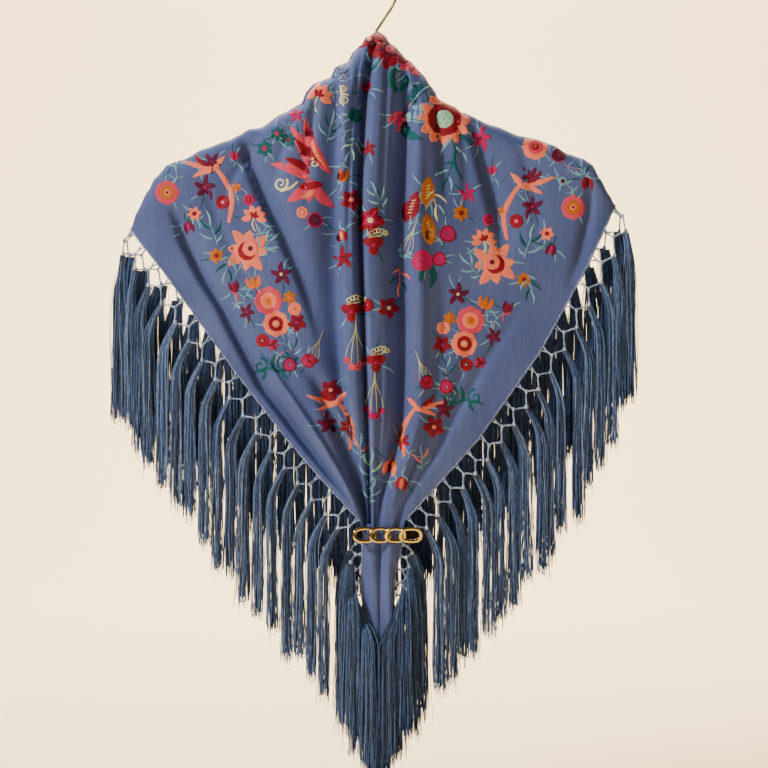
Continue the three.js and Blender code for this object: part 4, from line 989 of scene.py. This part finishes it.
def butterfly_flower(petal, under, heart, tendril):
    """Long petals spread like wings, inner ones over them, and tendrils."""
    wings = [((0.6, -0.35), (0.05, 1.28), 0.2, petal, 0.1), ((0, -0.12), (-0.4, 1.1), 0.18,
             petal, -0.06), ((0, -0.47), (-1.08, 0.1), 0.17, petal, -0.06), ((-0.02, -0.5),
             (-0.72, -1.02), 0.19, petal, 0.1), ((0, -0.5), (-0.1, -1.1), 0.22, petal, 0),
             ((0.05, -0.5), (0.6, -1.3), 0.19, petal, -0.1), ((0.42, -0.12), (0.04, 0.85), 0.1,
             under, 0.1, 1), ((0, -0.1), (-0.3, 0.7), 0.13, under, -0.1, 1), ((0, -0.3),
             (-0.66, 0.2), 0.12, under, -0.08, 1), ((-0.36, -0.66), (0.36, -0.64), 0.14, under,
             0, 1)]  # fmt: skip
    streaks = [leaf((0.1, -0.8), (-0.3, -1.0), 0.1, heart, 0, 1),
                 leaf((0.5, -0.2), (0.16, 0.95), 0.07, heart, 0.1, 2)]  # fmt: skip
    return [*(leaf(*w) for w in wings), *streaks,
            curl((-0.86, -0.5), 0.22, 60, 1.4, 0.045, tendril),
            curl((0.16, -0.02), 0.17, -90, 1.3, 0.04, tendril),
            stem([(-0.9, -0.72), (-0.6, -0.66), (-0.35, -0.5)], 0.045, tendril)]  # fmt: skip


def arching_sprig(arm, stalk, tip):
    """A stem that arches over, with four narrow leaves from its top."""
    return [stem([(0.28, 0.6), (0.6, 0.15), (0.8, -0.4), (0.7, -1.12)], 0.09, stalk),
            leaf((0.34, 0.56), (-0.8, 0.82), 0.1, arm, 0.05),
            leaf((0.32, 0.5), (-0.4, 0.28), 0.1, arm, -0.08),
            leaf((0.24, 0.5), (0.6, 0.92), 0.1, arm, 0.05, 1),
            leaf((0.1, 0.62), (-0.34, 0.98), 0.09, tip, 0.1, 1)]  # fmt: skip


def leafy(front, other):
    """A straight stem with five narrow leaves in two dyes by turns."""
    leaves = [(-0.05, -0.6, -0.7, 0.05), (-0.03, 0, -0.42, 0.75), (0, 0.1, 0.08, 1.1),
              (0.05, -0.35, 0.72, 0.3), (0, -0.8, 0.5, -0.5)]  # fmt: skip
    return [stem([(0, -1), (0.05, -0.3), (0, 0.3)], 0.045, front)] + [
        leaf((a, b), (c, d), 0.085, front if k % 2 == 0 else other, 0.12 if k < 2 else -0.1, 1)
        for k, (a, b, c, d) in enumerate(leaves)
    ]


def leaf_pair(front, other):
    """Two broad leaves side by side, the first with a vein."""
    return [leaf((0, -1), (-0.15, 0.9), 0.34, front, 0.16),
            leaf((0.1, -0.9), (0.7, 0.5), 0.26, other, -0.14),
            stem([(-0.02, -1), (-0.2, 0), (-0.14, 0.7)], 0.04, other, 1)]  # fmt: skip


def dot_sprig(leaf_dye, dot):
    """Three leaves round a spot with a dot in it."""
    return [leaf((0, -0.2), (-0.8, 0.5), 0.14, leaf_dye, 0.1), leaf((0, -0.2), (0.9, 0.5), 0.14,
            leaf_dye, -0.1), leaf((0, -0.1), (-0.2, -1), 0.14, leaf_dye, 0.1),
            spot(0.42, leaf_dye, 1), spot(0.24, dot, 2)]  # fmt: skip


def curls(front, other):
    """Two tendrils that curl over a waving stem, with three small leaves."""
    return [curl((-0.55, 0), 0.34, 0, 1.2, 0.075, front), curl((0.5, 0.15), 0.36, 180, 1.3,
            0.075, other), stem([(-0.9, -0.3), (-0.2, -0.1), (0.4, -0.25), (0.95, 0.1)],
            0.085, front), leaf((0, -0.15), (0.1, 0.5), 0.1, front, 0.1),
            leaf((-0.3, -0.15), (-0.5, -0.6), 0.1, other, 0.1),
            leaf((0.4, -0.2), (0.7, -0.6), 0.1, front, -0.1)]  # fmt: skip


def fan(stalk, dot):
    """Four fine stalks that spread from a foot, with a dot at the end of each."""
    ends = [(-0.3, 0.62), (-0.08, 0.8), (0.16, 0.78), (0.36, 0.56)]
    stalks = [stem([(0, -1), (0.1 * x, -0.3), (0.7 * x, 0.2), (x, z)], 0.02, stalk)
              for x, z in ends]  # fmt: skip
    return stalks + [spot(0.12, dot, 1, (0.8 * x, z + 0.12)) for x, z in ends]


MOTIFS = {
    made.__name__: made
    for made in (ring_flower, crown_flower, star, great_star, blossom, poppy, eyed_ring, disc,
                 stitched_oval, bud, tulip, half_flower, comb_flower, butterfly_flower,
                 arching_sprig, leafy, leaf_pair, dot_sprig, curls, fan)
}  # fmt: skip

# Motif, its place (x, z) on the left front and on the right one, where it is mirrored, radius,
# turn in degrees and dyes. Those of the neck and the middle are worked on one front alone.
FRONT_SPRAY = [
    ("ring_flower", (-200, -233), (187, -247), 11.6, 0, "pink amber coral crimson"),
    ("dot_sprig", (-194, -204), (177, -222), 10.1, -25, "aqua wine"),
    ("arching_sprig", (-163, -227), (146, -243), 31.2, 0, "coral coral crimson"),
    ("star", (-164, -228), (148, -246), 12.6, 10, "wine magenta"),
    ("star", (-157, -204), (146, -217), 11, 40, "wine crimson"),
    ("eyed_ring", (-147, -242), (133, -260), 7, 0, "crimson magenta cream"),
    ("eyed_ring", (-122, -240), (106, -259), 6, 0, "magenta crimson pink"),
    ("blossom", (-134, -228), (120, -250), 5.5, 0, "amber orange amber"),
    ("blossom", (-174, -253), (162, -272), 7.5, 20, "coral coral crimson"),
    ("bud", (-181, -262), (167, -284), 10.1, 160, "wine magenta teal"),
    ("leafy", (-158, -267), (146, -280), 17.1, -20, "aqua teal"),
    ("bud", (-136, -201), (110, -214), 8.1, 0, "magenta crimson aqua"),
    ("great_star", (-123, -288), (112, -301), 22.7, 8, "coral crimson wine"),
    ("half_flower", (-117, -257), (102, -279), 13, 0, "coral crimson cream"),
    ("leafy", (-104, -281), (90, -303), 15.1, 40, "aqua aqua"),
    ("blossom", (-153, -293), (140, -316), 8.1, 0, "amber amber crimson"),
    ("leafy", (-143, -306), (146, -324), 14.1, 190, "aqua teal"),
    ("star", (-91, -311), (77, -330), 12.1, 0, "wine cream"),
    ("bud", (-135, -326), (123, -346), 10.1, -20, "wine crimson pink"),
    ("star", (-124, -347), (111, -370), 9.5, 25, "wine magenta"),
    ("tulip", (-117, -320), (103, -340), 9.5, -15, "orange amber crimson"),
    ("ring_flower", (-103, -336), (89, -355), 13.6, 0, "pink coral orange amber"),
    ("blossom", (-83, -333), (69, -353), 7, 0, "amber amber orange"),
    ("eyed_ring", (-78, -344), (63, -362), 6.6, 0, "coral coral crimson"),
    ("ring_flower", (-96, -358), (83, -377), 12.6, 0, "coral crimson coral cream"),
    ("poppy", (-76, -357), (62, -378), 9, 15, "crimson wine magenta"),
    ("eyed_ring", (-109, -374), (85, -397), 6.6, 0, "crimson crimson aqua"),
    ("blossom", (-99, -378), (98, -395), 6.6, 30, "crimson magenta wine"),
    ("leafy", (-80, -383), (66, -398), 12.1, 10, "teal aqua"),
    ("curls", (-99, -398), (81, -428), 22.2, 0, "teal teal"),
    ("disc", (-83, -397), (47, -414), 7.5, 0, "magenta wine"),
    ("disc", (-65, -393), (66, -418), 7.5, 30, "magenta crimson"),
    ("fan", (-57, -380), (42, -400), 17.1, 200, "cream crimson"),
    ("arching_sprig", (-45, -448), (45, -453), 27.1, 0, "coral coral crimson"),
    ("poppy", (-44, -421), (54, -456), 10.6, 0, "crimson wine coral"),
    ("star", (-47, -453), (64, -439), 11.6, 0, "wine crimson"),
    ("star", (-29, -456), (24, -469), 9, 30, "crimson amber"),
    ("leafy", (-16, -475), (43, -485), 12.1, 0, "aqua coral"),
    ("butterfly_flower", (-65, -205), None, 33.2, -6, "pink crimson coral cream"),
    ("eyed_ring", (-71, -252), None, 6, 0, "coral coral cream"),
    ("disc", (-59, -259), None, 8.1, 0, "wine magenta"),
    ("blossom", (-107, -191), None, 8.6, 0, "teal teal magenta"),
    ("blossom", (-95, -177), None, 7.5, 0, "teal teal magenta"),
    ("blossom", (-84, -183), None, 8.1, 20, "teal teal wine"),
    ("star", (-77, -159), None, 9, 0, "magenta wine"),
    ("half_flower", (-56, -142), None, 15.1, 10, "coral crimson cream"),
    ("curls", (-32, -142), None, 11.6, 90, "cream cream"),
    ("leafy", (-35, -117), None, 10.6, 20, "aqua teal"),
    ("disc", (-21, -161), None, 7.4, 0, "teal teal"),
    ("leafy", (-45, -170), None, 14.9, 10, "aqua teal"),
    ("leafy", (-24, -193), None, 12.8, 200, "aqua mint"),
    ("bud", (-33, -222), None, 11.6, 10, "amber crimson aqua"),
    ("poppy", (-24, -241), None, 10.6, 0, "crimson wine coral"),
    ("star", (-32, -296), None, 11.6, 0, "crimson wine"),
    ("bud", (-34, -271), None, 10.6, 170, "crimson coral aqua"),
    ("poppy", (-7, -87), None, 12.8, 0, "crimson wine coral"),
    ("leafy", (-5, -109), None, 10.6, 0, "teal aqua"),
    ("bud", (-10, -136), None, 8.5, 0, "crimson magenta teal"),
    ("star", (-8, -193), None, 8.5, 0, "crimson wine"),
    ("leafy", (0, -237), None, 13.8, -30, "aqua aqua"),
    ("poppy", (-6, -261), None, 13.8, 0, "crimson magenta cream"),
    ("comb_flower", (-3, -284), None, 13.8, 0, "crimson cream magenta"),
    ("comb_flower", (-24, -347), None, 13.8, 0, "crimson cream magenta"),
    ("fan", (-20, -374), None, 27.7, 180, "cream pink"),
    ("disc", (-9, -341), None, 6.9, 0, "crimson wine"),
    ("poppy", (11, -343), None, 10.6, 0, "crimson wine cream"),
    ("comb_flower", (-1, -395), None, 13.3, 0, "crimson cream magenta"),
    ("fan", (-2, -421), None, 26.7, 180, "cream magenta"),
    ("leafy", (-6, -493), None, 15.9, 0, "aqua mint"),
    ("bud", (13, -490), None, 12.8, 190, "coral crimson amber"),
    ("leafy", (-5, -516), None, 13.8, 10, "aqua aqua"),
    ("poppy", None, (12, -98), 20.3, 20, "crimson wine pink"),
    ("disc", None, (26, -106), 8.5, 0, "crimson magenta"),
    ("leaf_pair", None, (19, -127), 12.8, 0, "teal teal"),
    ("half_flower", None, (32, -117), 10.6, 20, "pink crimson magenta"),
    ("leaf_pair", None, (45, -141), 19.2, 50, "teal aqua"),
    ("leaf_pair", None, (39, -170), 18, 110, "aqua teal"),
    ("leafy", None, (74, -190), 22.2, 170, "teal aqua"),
    ("crown_flower", None, (64, -164), 24.2, 0, "coral crimson wine mint"),
    ("leafy", None, (68, -218), 17.1, 200, "teal aqua"),
    ("star", None, (99, -181), 12.6, 15, "magenta wine"),
    ("ring_flower", None, (151, -189), 12.6, 0, "coral pink crimson amber"),
    ("disc", None, (173, -197), 7.5, 0, "wine crimson"),
    ("leafy", None, (196, -210), 10.1, -20, "aqua teal"),
    ("bud", None, (200, -220), 11, 170, "crimson wine aqua"),
    ("bud", None, (24, -160), 15.9, 215, "pink magenta crimson"),
    ("stitched_oval", None, (48, -234), 14.9, 5, "amber cream"),
    ("stitched_oval", None, (49, -269), 14.9, -8, "amber cream"),
    ("stitched_oval", None, (33, -248), 14.9, 20, "crimson cream"),
    ("blossom", None, (80, -253), 8.6, 0, "amber amber crimson"),
    ("star", None, (86, -234), 10.1, 0, "magenta crimson"),
    ("disc", None, (67, -273), 9, 0, "magenta crimson"),
    ("disc", None, (43, -299), 11.2, 0, "magenta magenta"),
    ("disc", None, (59, -297), 7.5, 0, "magenta crimson"),
    ("leaf_pair", None, (49, -314), 11.6, 180, "teal teal"),
    ("fan", None, (32, -277), 19.2, 200, "cream aqua"),
    ("leafy", None, (56, -245), 15.1, 170, "cream aqua"),
    ("leafy", None, (22, -317), 13.8, 180, "coral teal"),
    ("bud", None, (24, -505), 11.6, 190, "crimson coral aqua"),
]  # fmt: skip
BACK_SPRAY = [
    ("great_star", (-62, -250), (76, -254), 21, 0, "coral crimson wine"),
    ("ring_flower", (-96, -222), (108, -226), 13, 0, "pink coral orange amber"),
    ("leafy", (-40, -222), (54, -226), 16, -30, "aqua teal"),
    ("arching_sprig", (-120, -262), (132, -264), 28, 0, "coral coral crimson"),
    ("star", (-84, -286), (98, -288), 11, 10, "wine magenta"),
    ("butterfly_flower", (-42, -182), (54, -186), 26, 0, "pink crimson coral cream"),
    ("poppy", (-34, -300), (46, -302), 11, 0, "crimson wine coral"),
    ("ring_flower", (-58, -330), (70, -330), 12, 0, "coral crimson coral cream"),
    ("curls", (-28, -338), (40, -338), 20, 0, "teal teal"),
    ("blossom", (-106, -302), (118, -300), 8, 0, "amber amber crimson"),
    ("leafy", (-78, -352), (90, -350), 15, 40, "aqua aqua"),
    ("eyed_ring", (-140, -232), (150, -234), 7, 0, "crimson magenta cream"),
    ("bud", (-150, -262), (160, -262), 10, 160, "wine magenta teal"),
    ("half_flower", (-88, -186), (98, -190), 13, 10, "coral crimson cream"),
    ("blossom", (-124, -208), (134, -212), 8, 0, "teal teal magenta"),
    ("fan", (-18, -372), (30, -372), 22, 180, "cream pink"),
    ("star", (-44, -388), (56, -384), 10, 0, "wine cream"),
    ("leafy", (-18, -268), (30, -268), 16, 10, "teal aqua"),
    ("crown_flower", (6, -232), None, 24, 0, "coral crimson wine mint"),
    ("comb_flower", (6, -300), None, 13, 0, "crimson cream magenta"),
    ("great_star", (6, -352), None, 15, 0, "coral crimson wine"),
    ("poppy", (6, -160), None, 14, 0, "crimson wine pink"),
    ("leafy", (6, -404), None, 14, 180, "aqua teal"),
]


JOIN = 34  # motifs nearer than this are joined by a stem
LEAFY_JOIN = 22  # and a stem longer than this carries a leaf on either side
LEAFLESS = ("leafy", "fan", "curls", "leaf_pair", "arching_sprig")
SMALL = 7  # radius up to which a flower has no leaves of its own
GREEN_LAYER = -0.4  # stems and leaves lie just under the motifs


def on_cloth(x, z, rise, side):
    """Points that stand off the cloth by a rise along its own normal, which is found from the
    slope of its form across and down."""
    z = np.minimum(z, top_z(x) - 2)
    step = 0.6
    here = stand_off(x, z, side)
    across = (stand_off(x + step, z, side) - stand_off(x - step, z, side)) / (2 * step)
    down = (stand_off(x, z + step, side) - stand_off(x, z - step, side)) / (2 * step)
    normal = np.stack([-across, np.ones_like(x), -down], -1)
    normal /= np.linalg.norm(normal, axis=-1, keepdims=True)
    points = np.stack([x, here, z], -1) + normal * rise[..., None]
    if side == "front":
        points[..., 1] *= -1
    return points


def greenery(spray):
    """The thin stems and narrow leaves that join the motifs, drawn in millimetres: a stem to the
    next motif of the list where it is near, and a few leaves out of each larger flower."""
    drawn = []
    for hand in (1, 2):
        last = None
        for k, row in enumerate(spray):
            place, radius = row[hand], row[3]
            if place is None:
                continue
            here = np.array(place, float)
            dye = ("aqua", "cream", "aqua", "teal", "aqua", "coral")[k % 6]
            if last is not None and radius < np.hypot(*(here - last)) < JOIN:
                way = here - last
                side = way[::-1] * np.array([1, -1]) * (0.2 if k % 2 else -0.2)
                middle = (here + last) / 2 + side
                drawn.append(stem([last, middle, here], 0.5, dye, GREEN_LAYER))
                for away in (-1, 1) if np.hypot(*way) > LEAFY_JOIN else ():
                    tip = middle + away * way[::-1] * np.array([0.28, -0.28]) + way * 0.12
                    drawn.append(leaf(middle, tip, 0.8, "aqua", 0.1, GREEN_LAYER))
            if radius > SMALL and row[0] not in LEAFLESS:
                first = 65.0 * k if hand == 1 else -65.0 * k
                for j, (swing, long) in enumerate(((0, 8.5), (34, 6), (150, 7.5))):
                    green = "teal" if (j + k) % 4 == 3 else "aqua"
                    near, far = 0.5 * radius, radius + long
                    drawn.append(ray(first + swing, near, far, 0.95, green, 0.08, GREEN_LAYER, here))
            last = here
    return drawn


def stitched(line, half, dye, layer, closed, side):
    """A band as a closed crowned strip, with more points across the wider it is: (x, z, rise) of
    its points. The crown falls off with the fourth power of the place across, and the edges go
    in. The threads' ends are uneven, and the dye varies a little."""
    half = half * rng.uniform(0.92, 1.08, len(half)) + 0.1
    if closed:
        along_it = np.roll(line, -1, axis=0) - np.roll(line, 1, axis=0)
    else:
        along_it = np.gradient(line, axis=0)
    along_it /= np.linalg.norm(along_it, axis=-1, keepdims=True) + 1e-9
    side_way = along_it[:, ::-1] * np.array([-1, 1])
    n, wide = len(line), 3 if half.max() < 0.9 else 5 if half.max() < 2.2 else 9
    across = np.linspace(-1, 1, wide)
    crown = STITCH_RISE * (1 - across**4) - STITCH_SUNK * across**16
    spread = line[:, None] + side_way[:, None] * (half[:, None] * across)[..., None]
    rise = np.broadcast_to(crown + layer * STITCH_LAYER, spread.shape[:2])
    points = np.concatenate([spread, rise[..., None]], -1).reshape(-1, 3)
    faces = grid_faces(n, wide, closed=True, ring=closed).tolist()
    if not closed:
        faces += [list(range(wide))[::-1], list(range((n - 1) * wide, n * wide))]
    if side == "front":
        faces = [face[::-1] for face in faces]
    run = np.concatenate([[0], np.cumsum(np.hypot(*np.diff(line, axis=0).T))])
    uv = np.stack([np.tile(across, n), np.repeat(run, wide)], -1)
    tone = rng.uniform(0.88, 1.1) * rng.uniform(0.94, 1.06, (n * wide, 1))
    tint = np.array(linear(DYES[dye])) * np.hstack([np.repeat(tone, 3, 1), tone * 0 + 1])
    return points, faces, uv, tint


def embroider(spray, side):
    """Works a spray: each motif is turned, mirrored where it is on the right too, and placed,
    and the greenery is worked last. The whole is then laid on the cloth."""
    parts = []
    greens = ("greenery", (0, 0), None, 1, 0, "")
    for name, left, right, radius, turn, dyes in [*spray, greens]:
        a = np.radians(turn)
        spin = np.array([[np.cos(a), -np.sin(a)], [np.sin(a), np.cos(a)]])
        for place, mirror in ((left, 1), (right, -1 if left else 1)):
            if place is None:
                continue
            bands = greenery(spray) if name == "greenery" else MOTIFS[name](*dyes.split())
            for line, half, dye, layer, closed in bands:
                line = (line @ spin) * radius * np.array([mirror, 1]) + np.array(place)
                parts.append(stitched(line, half * radius, dye, layer, closed, side))
    flat, faces, uv, tint = gather(parts)
    return on_cloth(*flat.T, side), faces, uv, tint


def satin_material():
    """Satin stitch in rayon floss: threads side by side, so that it shines across them and shows a
    fine ridge for each thread. The colour carries painted sheen on each ridge and painted shade
    between them."""
    made, tree, shader = new_material(
        "satin_stitch_floss", {"Roughness": 0.6, "Specular IOR Level": 0.22}
    )
    dye = node(tree, "VertexColor", {}, layer_name="tint")
    thread = node(tree, "UVMap", {}, uv_map="thread")
    # threads 0.4 mm apart along the band, drawn 0.6 mm apart so that they show
    lie = {"Vector": thread, "Scale": 0.55, "Distortion": 0.8, "Detail": 1.0}
    ridges = node(tree, "TexWave", lie, "Fac", bands_direction="Y")
    # painted sheen and shade: the dye is lightened on each thread's ridge and darkened in the
    # grooves between threads
    painted_sheen_and_shade = node(tree, "MapRange", {"Value": ridges, "To Min": 0.78, "To Max": 1.08})
    times = {"Fac": 1.0, "Color1": dye, "Color2": painted_sheen_and_shade}
    dyed = node(tree, "MixRGB", times, blend_type="MULTIPLY")
    bump = node(tree, "Bump", {"Height": ridges, "Strength": 0.35, "Distance": 0.0002})
    plug(tree, shader, {"Base Color": dyed, "Normal": bump})
    return made


satin = satin_material()
for side, spray in (("front", FRONT_SPRAY), ("back", BACK_SPRAY)):
    piece = make_piece("embroidery_" + side, satin, *embroider(spray, side))
    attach(piece, "root")

# ---- The scarf clip: four oval curb links of polished gold plate, soldered in a row on a springy
# band that runs behind the gathered cloth.

CLIP_Z = -558
CLIP_Y = -24.8
LINKS = [(-11.5, 9.6), (3, 8.6), (17.4, 8.6), (32, 9.6)]  # x of the middle, half-length
LINK_HALF_HEIGHT = 6
LINK_POWER = 0.8  # below 1, a link is squarer than an ellipse
LINK_WIRE = (1.75, 1.35)  # half-sizes of its flattened wire
LINK_TILT, LINK_TWIST = 1.1, 0.9  # how far a link's ends, and its long sides, lie in and out
TURNED_ABOUT = 10  # x on either side of which the links twist opposite ways
LINK_POINTS, WIRE_POINTS = 56, 14


def clip_links():
    """Each link is a squashed ring (a superellipse) of round wire, given a quarter twist so that
    its ends lie one over and one under its neighbours."""
    parts = []
    a = 2 * np.pi * np.arange(LINK_POINTS) / LINK_POINTS
    b = 2 * np.pi * np.arange(WIRE_POINTS) / WIRE_POINTS
    thick, thin = LINK_WIRE
    for x, half in LINKS:
        across = half * np.sign(np.cos(a)) * np.abs(np.cos(a)) ** LINK_POWER
        up = LINK_HALF_HEIGHT * np.sign(np.sin(a)) * np.abs(np.sin(a)) ** LINK_POWER
        twist = LINK_TWIST * np.sin(a) * np.sign(x - TURNED_ABOUT)
        out = CLIP_Y + LINK_TILT * across / half - twist
        path = np.stack([x + across, out, CLIP_Z + up], -1)
        forward = np.roll(path, -1, axis=0) - np.roll(path, 1, axis=0)
        forward /= np.linalg.norm(forward, axis=-1, keepdims=True)
        side = np.cross(np.array([0, 1.0, 0]), forward)
        side /= np.linalg.norm(side, axis=-1, keepdims=True)
        rise = np.cross(forward, side)
        ring = side[:, None] * np.cos(b)[:, None] * thick + rise[:, None] * np.sin(b)[:, None] * thin
        points = (path[:, None] + ring).reshape(-1, 3)
        faces = grid_faces(LINK_POINTS, WIRE_POINTS, closed=True, ring=True).tolist()
        parts.append((points, faces, np.zeros((len(points), 2)), linear("#ffffff")))
    return gather(parts)[:2]


def rubbed_metal(name, sockets, patches, colours, dullness):
    """A metal finish that is rubbed in patches: one noise on the piece varies both its colour
    and its roughness."""
    made, tree, shader = new_material(name, sockets)
    place = node(tree, "TexCoord", {}, "Object")
    rub = node(tree, "TexNoise", {"Vector": place, **patches})
    colour = node(tree, "ValToRGB", {"Fac": rub}, stops=colours)
    dull = node(tree, "MapRange", {"Value": rub, **dullness})
    plug(tree, shader, {"Base Color": colour, "Roughness": dull})
    return made


# gold-plated brass, polished: a warm mirror, a little duller in patches 4 mm across
gold = rubbed_metal(
    "gold_plate", {"Metallic": 1.0}, {"Scale": 260, "Detail": 3},
    [(0.3, "#e9cd86"), (0.7, "#d9b25c")],
    {"From Min": 0.3, "From Max": 0.7, "To Min": 0.13, "To Max": 0.27},
)  # fmt: skip
links = make_piece("clip_links", gold, *clip_links())
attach(links, "root")
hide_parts("clip_chain")
# the band behind is dark and half-matt, in patches 5 mm across: its near-black colour is painted
# shade, standing in for the shadow seen through the links
painted_shade_band = rubbed_metal(
    "dark_band_painted_shade", {"Metallic": 0.9, "Specular IOR Level": 0.4}, {"Scale": 220},
    [(0.3, "#1d1a14"), (0.7, "#332d20")], {"To Min": 0.45, "To Max": 0.65},
)  # fmt: skip
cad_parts["clip_band"].data.materials.clear()
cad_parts["clip_band"].data.materials.append(painted_shade_band)

# ---- The hanger: one length of steel wire under pale gold lacquer, its ends twisted together
# below the hook. The lacquer is half-matt, and rubbed in patches 7 mm long.

lacquer = rubbed_metal(
    "gold_lacquer", {"Metallic": 0.85, "Specular IOR Level": 0.5}, {"Scale": 140, "Detail": 4},
    [(0.35, "#8f8468"), (0.65, "#b9ab86")], {"To Min": 0.3, "To Max": 0.5},
)  # fmt: skip
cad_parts["hanger_wire"].data.materials.clear()
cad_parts["hanger_wire"].data.materials.append(lacquer)
